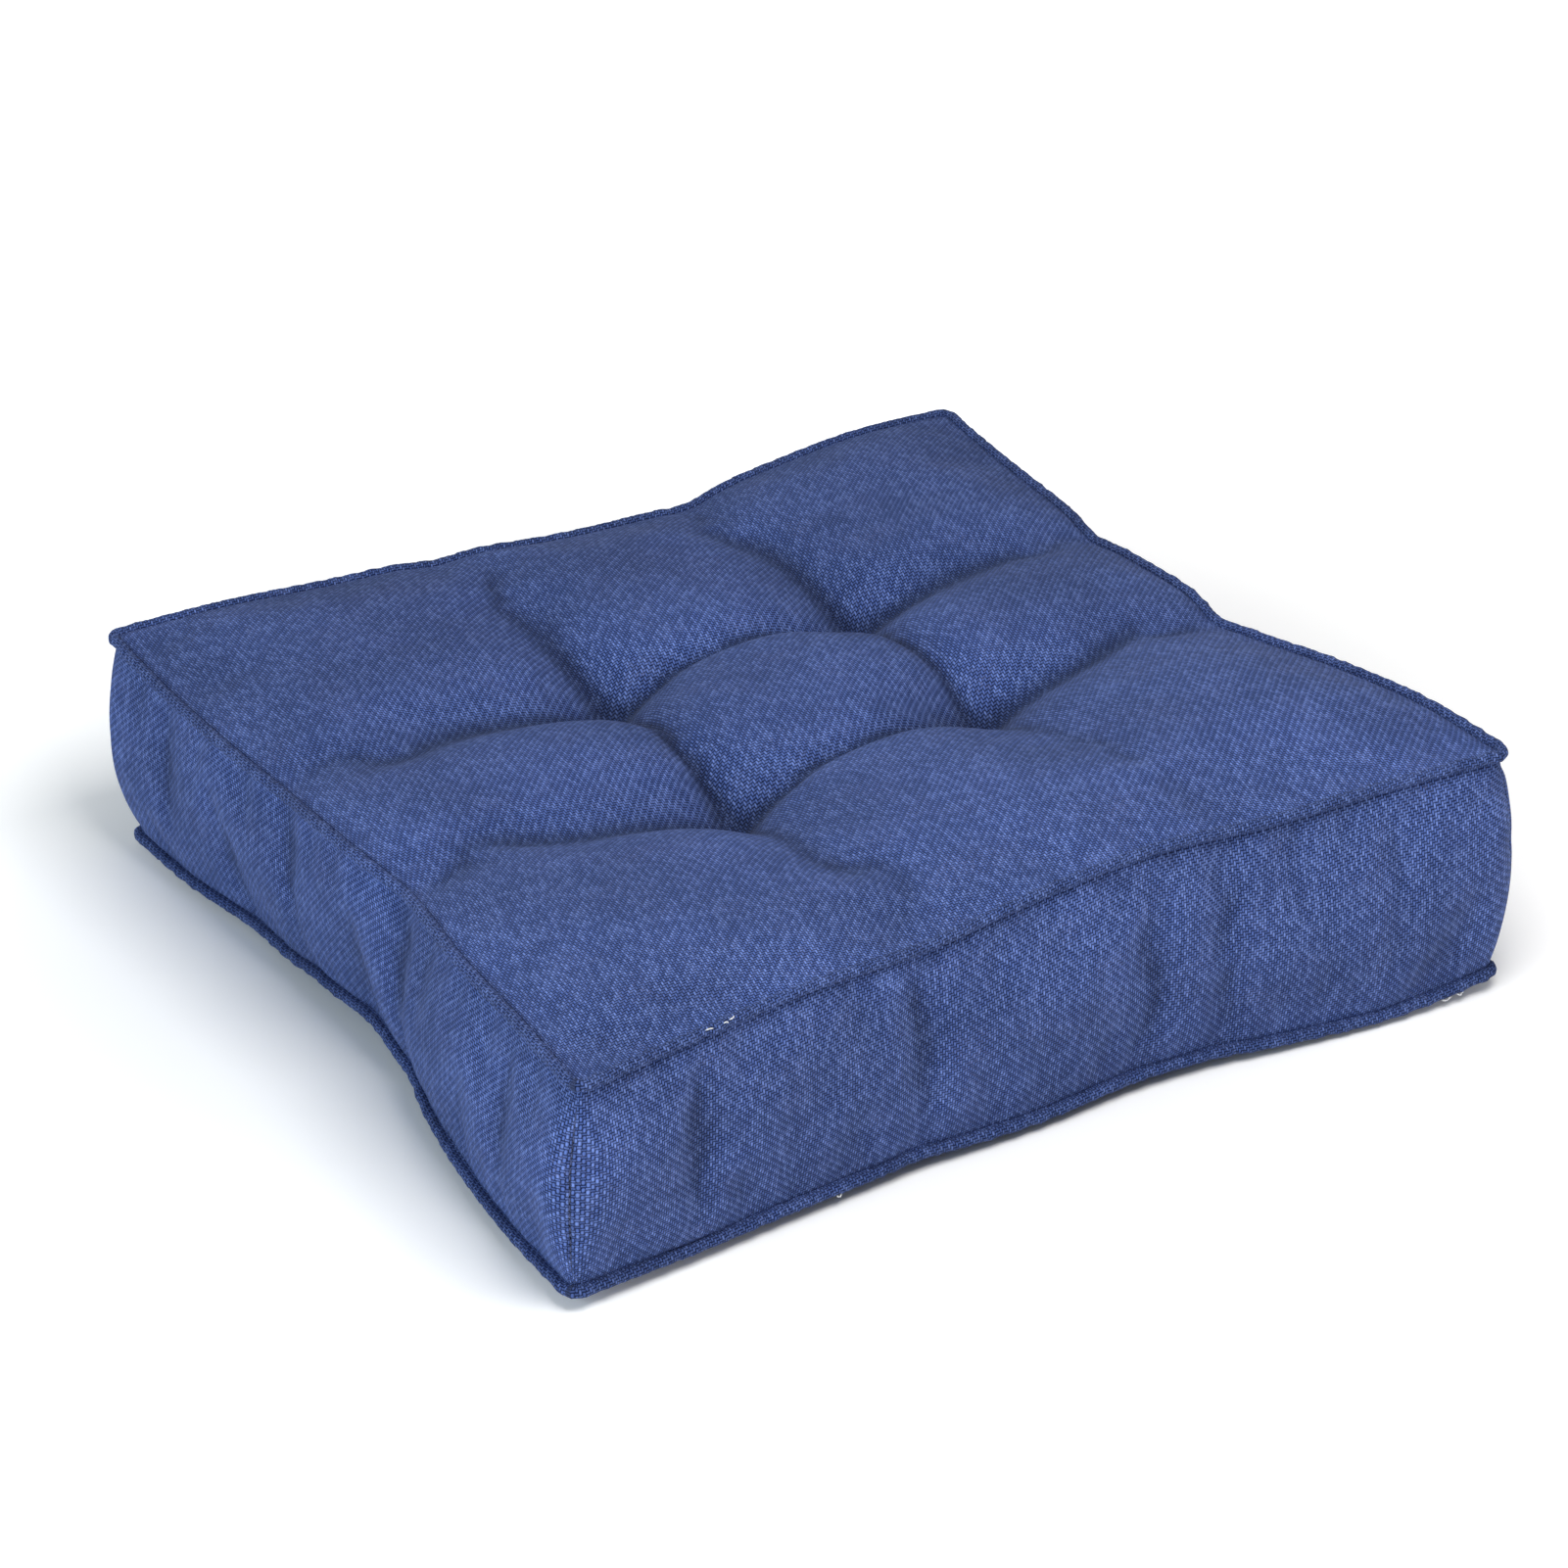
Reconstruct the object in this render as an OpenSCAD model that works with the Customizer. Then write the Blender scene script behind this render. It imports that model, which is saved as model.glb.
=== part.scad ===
// Tufted floor cushion: a square box cushion with piped seams, filled with loose fibre.
// Four twine ties pull the two large panels together and leave nine soft lobes.
// The origin is the middle of the footprint, on the surface that the cushion rests on.

/* [Cushion] */
// Width between the side seams, measured at the corners
cushion_w = 450; // [380:5:620]
// Depth between the front and back seams, measured at the corners
cushion_d = 450; // [380:5:620]
// Height between the middles of the two pipings
seam_height = 101; // [70:1:150]
// Height of the bottom piping's middle above the floor
rest_height = 7; // [5.5:0.5:14]

/* [Stuffed shape] */
// How far the middle of a side is pulled in from its corners
side_pull = 12; // [4:0.5:24]
// How far a side panel swells out past its pipings
side_crown = 6; // [2:0.5:14]
// Height of the lobes above the top piping's middle
top_crown = 19; // [12:1:34]
// Depth of the creases between neighbouring lobes
crease_depth = 6; // [0:0.5:9]

/* [Tufts] */
// Distance from the cushion's middle to the middle of the four tufts, to the right
tuft_centre_x = 12; // [-30:1:30]
// Distance from the cushion's middle to the middle of the four tufts, to the back
tuft_centre_y = 9; // [-30:1:30]
// Distance between the two tufts of a row, from left to right
tuft_pitch_x = 134; // [90:1:170]
// Distance between the two tufts of a column, from front to back
tuft_pitch_y = 118; // [90:1:170]
// Radius of the dimple round a tuft
tuft_r = 38; // [26:1:44]
// Depth of a tuft below the top piping's middle
tuft_sink = 24; // [8:1:40]
// Height of a tuft above the floor, on the underside
tuft_rise = 15; // [11:0.5:22]
// Diameter of the tie's waxed twine
twine_d = 1.6; // [1:0.1:2.4]
// Distance between the two strands of a tie
twine_gap = 4; // [3.2:0.1:7]

/* [Fabric and seams] */
// Thickness of the cover fabric
fabric_t = 1.2; // [0.8:0.1:1.8]
// Diameter of the cord inside the piping
piping_cord_d = 2.6; // [2.2:0.1:5]
// Width of cloth turned in behind each seam
seam_allowance = 8; // [7:0.5:14]
// Radius left at the inner end of a corner's turned-in cloth
corner_inner_r = 2; // [1:0.5:12]
// Diameter of the sewing thread
thread_d = 0.6; // [0.4:0.1:0.8]
// Length of the hand-sewn closing, in the back bottom seam
closing_length = 180; // [100:10:260]

/* [Fit] */
// Gap between pieces of cloth that lie on each other
cloth_gap = 0.05; // [0.05:0.05:0.2]
// Gap between the fibre and the cover around it
fill_gap = 0.3; // [0.2:0.1:1]

/* [Hidden] */

cloth_blue = [0.33, 0.4, 0.6];
shade_blue = [0.26, 0.32, 0.5];
fibre_white = [0.93, 0.93, 0.91];
twine_navy = [0.16, 0.2, 0.35];
thread_white = [0.9, 0.9, 0.88];

$fn = 32;

// Heights of the two seams
bottom_z = rest_height;
top_z = rest_height + seam_height;

// The piping's cloth is folded round its cord, and its two layers are the tape in the seam
piping_r = piping_cord_d / 2 + fabric_t;
tape_end = seam_allowance;
tape_face = fabric_t + cloth_gap;
turned_face = tape_face + fabric_t;
fold_inset = piping_r - cloth_gap;

// A panel's edge is doubled as far as the allowance, then slopes up to its single thickness
hem_slope = 2;
rim_inset = seam_allowance + hem_slope;
corner_r = rim_inset + corner_inner_r;

// Height of the top panel's rim over its seam, where its lobes begin
top_rim_rise = top_crown * 0.47;
top_hem_rise = top_crown * 0.4;
// Height that the bottom panel's rim keeps at the inner end of its hem
bottom_rim_rise = (bottom_z - turned_face) * 0.25;
bottom_hem_rise = (bottom_z - turned_face) * 0.45;

// Steps of the mesh: on half a rounded corner, and on each of a side's three spans
corner_steps = 2;
span_steps = 6;
side_steps = 2 * corner_steps + 3 * span_steps;
ring_steps = 4 * side_steps;
lines = side_steps + 1;

// ---- Plan: four bowed sides and four rounded corners -------------------------------------

// The chord of each side, in the order in which a turn meets them: front, right, back, left
chords = [cushion_w, cushion_d, cushion_w, cushion_d];

// Places of the tuft lines: across the cushion, and along each side in the turn's direction
tufts_x = [for (s = [-1, 1]) tuft_centre_x + s * tuft_pitch_x / 2];
tufts_y = [for (s = [-1, 1]) tuft_centre_y + s * tuft_pitch_y / 2];
tuft_places = [tufts_x, tufts_y, [-tufts_x[1], -tufts_x[0]], [-tufts_y[1], -tufts_y[0]]];

// A side is an arc through its two corners, and its centre lies outside the cushion
radii = [for (c = chords) (c * c / 4 + side_pull * side_pull) / (2 * side_pull)];
arms = [for (k = [0:3]) radii[k] + chords[(k + 1) % 4] / 2 - side_pull];
function side_centre(k) = arms[k] * [cos(90 * (k - 1)), sin(90 * (k - 1))];

// A corner's circle touches both arcs, so its centre is where two larger circles cross
reach = norm([arms[0], arms[1]]);
front_reach = radii[0] + corner_r;
right_reach = radii[1] + corner_r;
along = (front_reach * front_reach - right_reach * right_reach + reach * reach) / (2 * reach);
across = sqrt(front_reach * front_reach - along * along);
corner_x = (along * arms[1] - across * arms[0]) / reach;
corner_y = arms[0] - (along * arms[0] + across * arms[1]) / reach;
function corner_centre(k) = [
    (k % 4 < 2 ? 1 : -1) * corner_x,
    (k % 4 == 1 || k % 4 == 2 ? 1 : -1) * corner_y,
];

// Half the angle that each side's arc covers between its corners
half_angles = [
    for (k = [0:3]) k % 2 == 0 ? atan2(corner_x, arms[k] - corner_y) : atan2(corner_y, arms[k] - corner_x)
];

// Directions in which a corner's outward normal starts, stops and crosses its seam
function corner_start(k) = 90 * (k + 1) - half_angles[(k + 4) % 4] + 180;
function corner_stop(k) = 90 * (k + 2) + half_angles[(k + 5) % 4] + 180;
function corner_seam(k) = (corner_start(k) + corner_stop(k)) / 2;

// Place of step t of a line that runs from -half to half, with steps on both tuft lines
function spaced(t, half, places, outer) =
    t <= outer ? -half + (half + places[0]) * t / outer
    : t <= outer + span_steps ? places[0] + (places[1] - places[0]) * (t - outer) / span_steps
    : places[1] + (half - places[1]) * (t - outer - span_steps) / outer;

function polar(centre, r, angle) = centre + r * [cos(angle), sin(angle)];

// Point j of side k, a distance inset inside the seam line: 0 and side_steps are the corner seams
function station(k, j, inset) =
    j < corner_steps
    ? polar(
        corner_centre((k + 3) % 4), corner_r - inset,
        corner_seam(k - 1) + (corner_stop(k - 1) - corner_seam(k - 1)) * j / corner_steps
    )
    : j > side_steps - corner_steps
    ? polar(
        corner_centre(k), corner_r - inset,
        corner_seam(k) - (corner_seam(k) - corner_start(k)) * (side_steps - j) / corner_steps
    )
    : let (
        half = radii[k] * sin(half_angles[k]),
        place = spaced(j - corner_steps, half, tuft_places[k], span_steps)
    )
    polar(side_centre(k), radii[k] + inset, 90 * (k + 1) - asin(place / radii[k]));

// One turn round the cushion at the given inset and height
function ring(inset, z) = [
    for (k = [0:3])
        for (j = [0:side_steps - 1])
            let (p = station(k, j, inset)) [p[0], p[1], z]
];

// ---- Plan grid of the large panels --------------------------------------------------------

half_x = corner_x + corner_r - rim_inset;
half_y = corner_y + corner_r - rim_inset;
grid_outer = corner_steps + span_steps;
grid_x = [for (i = [0:side_steps]) spaced(i, half_x, tufts_x, grid_outer)];
grid_y = [for (j = [0:side_steps]) spaced(j, half_y, tufts_y, grid_outer)];

// Share of the rim's shift that a grid line feels: all at the rim, none from the tufts inward
function fade(place, half, places) =
    place < places[0] ? pow((places[0] - place) / (places[0] + half), 2)
    : place > places[1] ? pow((place - places[1]) / (half - places[1]), 2)
    : 0;

// A straight grid whose outer lines are drawn on to the bowed rim
function plan(i, j) =
    let (
        fx = fade(grid_x[i], half_x, tufts_x),
        fy = fade(grid_y[j], half_y, tufts_y),
        sx = grid_x[i] < tuft_centre_x ? -1 : 1,
        sy = grid_y[j] < tuft_centre_y ? -1 : 1,
        by_x = sx < 0 ? station(3, side_steps - j, rim_inset) : station(1, j, rim_inset),
        by_y = sy < 0 ? station(0, i, rim_inset) : station(2, side_steps - i, rim_inset),
        corner = station(sx < 0 ? (sy < 0 ? 0 : 3) : (sy < 0 ? 1 : 2), 0, rim_inset),
        shift_x = by_x - [sx * half_x, grid_y[j]],
        shift_y = by_y - [grid_x[i], sy * half_y],
        shift_corner = corner - [sx * half_x, sy * half_y]
    )
    [grid_x[i], grid_y[j]] + fx * shift_x + fy * shift_y - fx * fy * shift_corner;

plans = [for (i = [0:side_steps]) for (j = [0:side_steps]) plan(i, j)];

// ---- Heights of the large panels ----------------------------------------------------------

// Distance of a place from the nearer of its two tuft lines
function off_line(place, centre, pitch) = abs(abs(place - centre) - pitch / 2);

// 1 at a tuft and 0 from its dimple's edge outward
function dimple(x, y) =
    let (
        dx = off_line(x, tuft_centre_x, tuft_pitch_x),
        dy = off_line(y, tuft_centre_y, tuft_pitch_y),
        near = 1 - (dx * dx + dy * dy) / (tuft_r * tuft_r)
    )
    near > 0 ? near * near : 0;

crease_width = 14;
function crease(away) = exp(-away * away / (crease_width * crease_width));

// The lobes: a dome from the rim, less the creases along both tuft lines, less the dimples
function lobe_rise(i, j) =
    let (
        u = abs(grid_x[i]) / half_x,
        v = abs(grid_y[j]) / half_y,
        dome = sqrt(max(0, 1 - pow(u, 3))) * sqrt(max(0, 1 - pow(v, 3))),
        cx = crease(off_line(grid_x[i], tuft_centre_x, tuft_pitch_x)),
        cy = crease(off_line(grid_y[j], tuft_centre_y, tuft_pitch_y)),
        valley = crease_depth * (cx + cy - cx * cy) * dome,
        rise = top_rim_rise + (top_crown - top_rim_rise) * dome - valley,
        pit = dimple(grid_x[i], grid_y[j])
    )
    rise * (1 - pit) - tuft_sink * pit;

// The underside: flat on the floor, turned up at its rim, drawn up at the tufts
flat_share = 0.9;
function under_rise(i, j) =
    let (
        edge = max(abs(grid_x[i]) / half_x, abs(grid_y[j]) / half_y),
        turn = max(0, (edge - flat_share) / (1 - flat_share))
    )
    bottom_rim_rise * turn * turn + tuft_rise * dimple(grid_x[i], grid_y[j]);

top_rises = [for (i = [0:side_steps]) for (j = [0:side_steps]) top_z + lobe_rise(i, j)];
under_rises = [for (i = [0:side_steps]) for (j = [0:side_steps]) under_rise(i, j)];

// The plan grid at the given heights, moved up by lift
function lifted(rises, lift) = [for (n = [0:lines * lines - 1]) [plans[n][0], plans[n][1], rises[n] + lift]];

// ---- Closed skins and swept sections ------------------------------------------------------

// Grid index of step r on the way round the grid's rim
function rim_index(r) =
    let (k = floor(r / side_steps), j = r % side_steps)
    k == 0 ? j * lines
    : k == 1 ? side_steps * lines + j
    : k == 2 ? (side_steps - j) * lines + side_steps
    : side_steps - j;

// Two triangles for each step between two rings of indices, the upper ring first
function strip(upper, lower) = [
    for (r = [0:len(upper) - 1])
        let (s = (r + 1) % len(upper))
            each [[upper[r], upper[s], lower[s]], [upper[r], lower[s], lower[r]]]
];

// A closed solid: an upper grid, a lower grid, and the rings that join their rims
module skin(up, down, rings) {
    up_faces = [
        for (i = [0:side_steps - 1])
            for (j = [0:side_steps - 1])
                let (a = i * lines + j, b = a + lines)
                    each [[a, a + 1, b + 1], [a, b + 1, b]]
    ];
    down_at = len(up);
    rings_at = 2 * down_at;
    top_rim = [for (r = [0:ring_steps - 1]) rim_index(r)];
    down_rim = [for (r = top_rim) r + down_at];
    loops = concat(
        [top_rim],
        [for (m = [0:len(rings) - 1]) [for (r = [0:ring_steps - 1]) rings_at + m * ring_steps + r]],
        [down_rim]
    );
    down_faces = [for (f = up_faces) [f[0] + down_at, f[2] + down_at, f[1] + down_at]];
    side_faces = [for (m = [0:len(loops) - 2]) each strip(loops[m], loops[m + 1])];
    polyhedron(
        points = concat(up, down, [for (one = rings) each one]),
        faces = concat(up_faces, down_faces, side_faces)
    );
}

// A closed section of [inset, z] points carried once round the cushion
module swept_ring(section) {
    count = len(section);
    points = [for (p = section) each ring(p[0], p[1])];
    faces = [
        for (m = [0:count - 1])
            each strip(
                [for (r = [0:ring_steps - 1]) m * ring_steps + r],
                [for (r = [0:ring_steps - 1]) ((m + 1) % count) * ring_steps + r]
            )
    ];
    polyhedron(points = points, faces = faces);
}

// A band of cloth between two lines of [inset, z] points, carried along side k from step a to b
module swept_band(k, a, b, outer, inner) {
    half = len(outer);
    count = 2 * half;
    section = concat(outer, [for (m = [half - 1:-1:0]) inner[m]]);
    steps = b - a + 1;
    points = [
        for (j = [a:b])
            for (p = section)
                let (xy = station(k, j, p[0])) [xy[0], xy[1], p[1]]
    ];
    walls = [
        for (t = [0:steps - 2])
            for (m = [0:count - 1])
                let (here = t * count, next = here + count, n = (m + 1) % count)
                    each [
                        [here + m, next + m, next + n],
                        [here + m, next + n, here + n],
                    ]
    ];
    end = (steps - 1) * count;
    caps = [
        for (m = [0:half - 2])
            let (w = count - 1 - m)
                each [
                    [m, m + 1, w - 1], [m, w - 1, w],
                    [end + m, end + w - 1, end + m + 1], [end + m, end + w, end + w - 1],
                ]
    ];
    polyhedron(points = points, faces = concat(walls, caps));
}

// ---- Cover panels -------------------------------------------------------------------------

tufts = [for (y = tufts_y) for (x = tufts_x) [x, y]];
strand_sides = [-1, 1];
hole_r = twine_d / 2 + cloth_gap;
hole_reach = tuft_r;

// Needle holes for both strands of every tie, around the given height
module strand_holes(z) {
    for (t = tufts)
        for (s = strand_sides)
            translate([t[0] + s * twine_gap / 2, t[1], z - hole_reach / 2])
                cylinder(r = hole_r, h = hole_reach);
}

module top_panel() {
    color(cloth_blue)
        difference() {
            skin(
                lifted(top_rises, 0),
                lifted(top_rises, -fabric_t),
                [
                    ring(tape_end, top_z + top_hem_rise),
                    ring(fold_inset, top_z + turned_face),
                    ring(fold_inset, top_z + tape_face),
                    ring(tape_end, top_z + tape_face),
                ]
            );
            strand_holes(top_z - tuft_sink);
        }
}

module bottom_panel() {
    color(shade_blue)
        difference() {
            skin(
                lifted(under_rises, fabric_t),
                lifted(under_rises, 0),
                [
                    ring(tape_end, bottom_z - tape_face),
                    ring(fold_inset, bottom_z - tape_face),
                    ring(fold_inset, bottom_z - turned_face),
                    ring(tape_end, bottom_hem_rise),
                ]
            );
            strand_holes(tuft_rise);
        }
}

// Inset of a side panel's outer face at share s of its height: -1 is the bottom, 1 the top
swell = fold_inset + side_crown;
function side_inset(s) = fold_inset - swell * (1 - s * s);
side_mid = (bottom_z + top_z) / 2;
side_half = seam_height / 2 - tape_face;
side_shares = [0.82, 0.45, 0, -0.45, -0.82];

// The panel's two faces, from the top seam down to the bottom seam
side_outer = concat(
    [[tape_end, side_mid + side_half], [fold_inset, side_mid + side_half]],
    [for (s = side_shares) [side_inset(s), side_mid + s * side_half]],
    [[fold_inset, side_mid - side_half], [tape_end, side_mid - side_half]]
);
side_inner = concat(
    [
        [tape_end, side_mid + side_half - fabric_t],
        [fold_inset + fabric_t, side_mid + side_half - fabric_t],
    ],
    [for (s = side_shares) [side_inset(s) + fabric_t, side_mid + s * side_half]],
    [
        [fold_inset + fabric_t, side_mid - side_half + fabric_t],
        [tape_end, side_mid - side_half + fabric_t],
    ]
);

// Height of the turned-in cloth at a corner seam, which leaves room for the seam threads
corner_half = side_half - 2 * fabric_t - thread_d;
corner_shares = [for (s = [1:-0.25:-1]) s * corner_half / side_half];

// Cloth turned in behind a corner seam, on one face of the corner's own plane
module corner_allowance(k, side) {
    outline = concat(
        [for (s = corner_shares) [corner_r - side_inset(s) - fabric_t / 2, side_mid + s * side_half]],
        [[corner_r - tape_end, side_mid - corner_half], [corner_r - tape_end, side_mid + corner_half]]
    );
    centre = corner_centre(k);
    translate([centre[0], centre[1], 0])
        rotate([0, 0, corner_seam(k)])
            translate([0, side > 0 ? fabric_t + cloth_gap / 2 : -cloth_gap / 2, 0])
                rotate([90, 0, 0])
                    linear_extrude(height = fabric_t)
                        polygon(outline);
}

module side_panel(k) {
    color(cloth_blue)
        union() {
            swept_band(k, 0, side_steps, side_outer, side_inner);
            corner_allowance((k + 3) % 4, 1);
            corner_allowance(k, -1);
        }
}

// ---- Piping -------------------------------------------------------------------------------

// Directions round the cord, from just above the tape's slit to just below it
slit_angle = 3;
turns = [for (m = [0:6]) slit_angle + m * (360 - 2 * slit_angle) / 6];
cord_r = piping_cord_d / 2;
cover_join = asin(fabric_t / piping_r);
cover_turns = [for (m = [0:6]) cover_join + m * (360 - 2 * cover_join) / 6];

// Folded cloth: round the cord and back along itself as a two-layer tape
module piping_cover(z) {
    outer = concat(
        [[tape_end, z + fabric_t]],
        [for (a = cover_turns) [piping_r * cos(a), z + piping_r * sin(a)]],
        [[tape_end, z - fabric_t]]
    );
    slit = cord_r * sin(slit_angle);
    inner = concat(
        [[tape_end, z - slit]],
        [for (m = [6:-1:0]) [cord_r * cos(turns[m]), z + cord_r * sin(turns[m])]],
        [[tape_end, z + slit]]
    );
    color(shade_blue) swept_ring(concat(outer, inner));
}

module piping_cord(z) {
    r = cord_r - cloth_gap;
    color(fibre_white) swept_ring([for (a = turns) [r * cos(a), z + r * sin(a)]]);
}

// ---- Filling ------------------------------------------------------------------------------

fill_end = tape_end + 2 * fill_gap;
fill_top = top_z + tape_face - fill_gap;
fill_under = bottom_z - tape_face + fill_gap;
fill_shoulder = turned_face + 2 * fill_gap;

// The fibre's side, held back from the turned-in cloth at each corner seam
function fill_ring(s) = [
    for (k = [0:3])
        for (j = [0:side_steps - 1])
            let (
                at_corner = j < corner_steps || j > side_steps - corner_steps,
                inset = at_corner ? fill_end : side_inset(s) + fabric_t + fill_gap,
                p = station(k, j, inset)
            )
                [p[0], p[1], side_mid + s * side_half]
];

module fibre_fill() {
    color(fibre_white)
        difference() {
            skin(
                lifted(top_rises, -fabric_t - fill_gap),
                lifted(under_rises, fabric_t + fill_gap),
                concat(
                    [ring(fill_end, fill_top), ring(fill_end, top_z - fill_shoulder)],
                    [for (s = side_shares) fill_ring(s)],
                    [ring(fill_end, bottom_z + fill_shoulder), ring(fill_end, fill_under)]
                )
            );
            for (t = tufts)
                translate([t[0], t[1], 0])
                    cylinder(r = twine_gap / 2 + twine_d / 2 + fill_gap, h = top_z + top_crown);
        }
}

// ---- Ties and threads ---------------------------------------------------------------------

// Clear height between a tuft's lowest point and the middle of the twine's bend
bend_lift = twine_gap;
// The knot is a little wider than the two strands that run into it
knot_r = twine_gap / 2 + twine_d / 2 + 4 * cloth_gap;
knot_drop = knot_r + 2 * fabric_t;

// One loop of twine through the cushion, closed by a knot in the lower dimple
module tuft_tie(t) {
    high = top_z - tuft_sink + bend_lift;
    low = tuft_rise - knot_drop;
    color(twine_navy)
        translate([t[0], t[1], 0]) {
            for (s = strand_sides)
                translate([s * twine_gap / 2, 0, low])
                    cylinder(r = twine_d / 2, h = high - low);
            translate([0, 0, high])
                rotate([90, 0, 0])
                    rotate_extrude(angle = 180)
                        translate([twine_gap / 2, 0])
                            circle(r = twine_d / 2);
            translate([0, 0, low])
                rotate([90, 0, 0])
                    sphere(r = knot_r);
        }
}

// Seam threads lie against the turned-in cloth, in the middle of the allowance
thread_inset = fold_inset + fabric_t + thread_d + 2 * cloth_gap;
thread_away = turned_face + thread_d / 2 + cloth_gap;

function thread_section(z) = [
    for (a = [0:90:270]) [thread_inset + thread_d / 2 * cos(a), z + thread_d / 2 * sin(a)]
];

module seam_thread(z) {
    color(thread_white) swept_ring(thread_section(z));
}

// The needle thread and the bobbin thread of one corner seam
module corner_seam_thread(k) {
    centre = corner_centre(k);
    color(thread_white)
        translate([centre[0], centre[1], side_mid - corner_half])
            rotate([0, 0, corner_seam(k)])
                for (s = strand_sides)
                    translate([corner_r - thread_inset, s * (fabric_t + thread_d / 2 + cloth_gap), 0])
                        cylinder(r = thread_d / 2, h = 2 * corner_half);
}

// Slip stitches that close the back seam, in the groove under the bottom piping
closing_angle = -60;
closing_steps = max(1, round(closing_length / 2 / (tuft_pitch_x / span_steps)));
module closing_seam_thread() {
    away = piping_r + thread_d / 2 + cloth_gap;
    middle = side_steps / 2;
    x = away * cos(closing_angle);
    z = bottom_z + away * sin(closing_angle);
    r = thread_d / 2;
    color(thread_white)
        swept_band(
            2, middle - closing_steps, middle + closing_steps,
            [[x + r / 2, z + r], [x - r, z], [x + r / 2, z - r]],
            [[x + r, z + r / 2], [x, z], [x + r, z - r / 2]]
        );
}

top_panel();
bottom_panel();
side_panel(0);  // side_panel_front
side_panel(1);  // side_panel_right
side_panel(2);  // side_panel_back
side_panel(3);  // side_panel_left
piping_cover(top_z);  // top_piping_cover
piping_cover(bottom_z);  // bottom_piping_cover
piping_cord(top_z);  // top_piping_cord
piping_cord(bottom_z);  // bottom_piping_cord
fibre_fill();
tuft_tie(tufts[0]);  // tuft_tie_front_left
tuft_tie(tufts[1]);  // tuft_tie_front_right
tuft_tie(tufts[2]);  // tuft_tie_back_left
tuft_tie(tufts[3]);  // tuft_tie_back_right
corner_seam_thread(0);  // corner_seam_thread_front_right
corner_seam_thread(1);  // corner_seam_thread_back_right
corner_seam_thread(2);  // corner_seam_thread_back_left
corner_seam_thread(3);  // corner_seam_thread_front_left
seam_thread(top_z - thread_away);  // top_seam_thread
seam_thread(bottom_z + thread_away);  // bottom_seam_thread
closing_seam_thread();
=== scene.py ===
# %% [markdown]
# # A tufted floor cushion
#
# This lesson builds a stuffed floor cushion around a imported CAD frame. The frame says where each
# piece is and how big it is. Blender adds what CAD leaves plain: cloth that swells and puckers,
# piping, stitches, and a woven fabric.

# %% Load the frame
import math

import bpy
import numpy as np
from mathutils import Matrix, Vector


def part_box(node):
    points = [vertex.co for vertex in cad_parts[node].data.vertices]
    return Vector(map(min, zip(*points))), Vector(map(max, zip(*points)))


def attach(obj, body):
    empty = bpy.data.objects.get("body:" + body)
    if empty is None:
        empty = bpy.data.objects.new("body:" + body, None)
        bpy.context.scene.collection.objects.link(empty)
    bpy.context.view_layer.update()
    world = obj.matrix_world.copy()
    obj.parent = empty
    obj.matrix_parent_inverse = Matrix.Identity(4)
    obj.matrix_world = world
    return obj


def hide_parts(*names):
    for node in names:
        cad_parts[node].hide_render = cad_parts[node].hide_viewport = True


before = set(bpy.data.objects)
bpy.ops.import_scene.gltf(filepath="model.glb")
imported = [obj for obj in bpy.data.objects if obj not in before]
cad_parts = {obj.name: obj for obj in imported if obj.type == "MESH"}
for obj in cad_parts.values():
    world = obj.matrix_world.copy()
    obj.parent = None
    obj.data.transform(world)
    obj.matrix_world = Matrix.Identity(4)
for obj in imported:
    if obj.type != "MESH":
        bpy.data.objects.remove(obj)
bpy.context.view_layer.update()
MM = 0.001

# %% [markdown]
# ## Camera, light and floor
#
# A long lens from above one corner keeps the cushion's edges nearly parallel. The camera looks at a
# point on the floor from an azimuth, an elevation and a distance, and leans a little to one side.
# The lights are large, so their shadows are soft, and the nearest one hangs high before the front
# of the cushion, so its back is darker.


# %% Camera
def place_camera(azimuth, elevation, lean, distance, target, lens):
    """A camera at target + distance * back, where back points from the target at the given angles."""
    azimuth, elevation, lean = (math.radians(v) for v in (azimuth, elevation, lean))
    back = Vector(
        (
            math.sin(azimuth) * math.cos(elevation),
            -math.cos(azimuth) * math.cos(elevation),
            math.sin(elevation),
        )
    )
    level = Vector((0, 0, 1)).cross(back).normalized()
    upright = back.cross(level)
    right = level * math.cos(lean) + upright * math.sin(lean)
    up = upright * math.cos(lean) - level * math.sin(lean)
    turn = Matrix((right, up, back)).transposed().to_4x4()
    data = bpy.data.cameras.new("camera")
    data.lens = lens
    data.sensor_width = 36
    data.clip_end = 20
    camera = bpy.data.objects.new("camera", data)
    camera.matrix_world = Matrix.Translation(Vector(target) + back * distance) @ turn
    bpy.context.scene.collection.objects.link(camera)
    bpy.context.scene.camera = camera
    return camera


camera = place_camera(
    azimuth=-29.32,
    elevation=28.56,
    lean=-1.95,
    distance=2.319,
    target=(0.0533, 0.0966, 0.007),
    lens=112.5,
)
print("camera at", [round(v, 3) for v in camera.location])


# %% Lights
cushion_middle = (0, 0, 0.06)


def add_light(name, place, size, power, colour):
    """A square area light at place that faces the middle of the cushion."""
    data = bpy.data.lights.new(name, "AREA")
    data.size = size
    data.energy = power
    data.color = colour
    light = bpy.data.objects.new(name, data)
    light.location = place
    away = Vector(place) - Vector(cushion_middle)
    light.rotation_euler = away.to_track_quat("Z", "Y").to_euler()
    bpy.context.scene.collection.objects.link(light)


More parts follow.
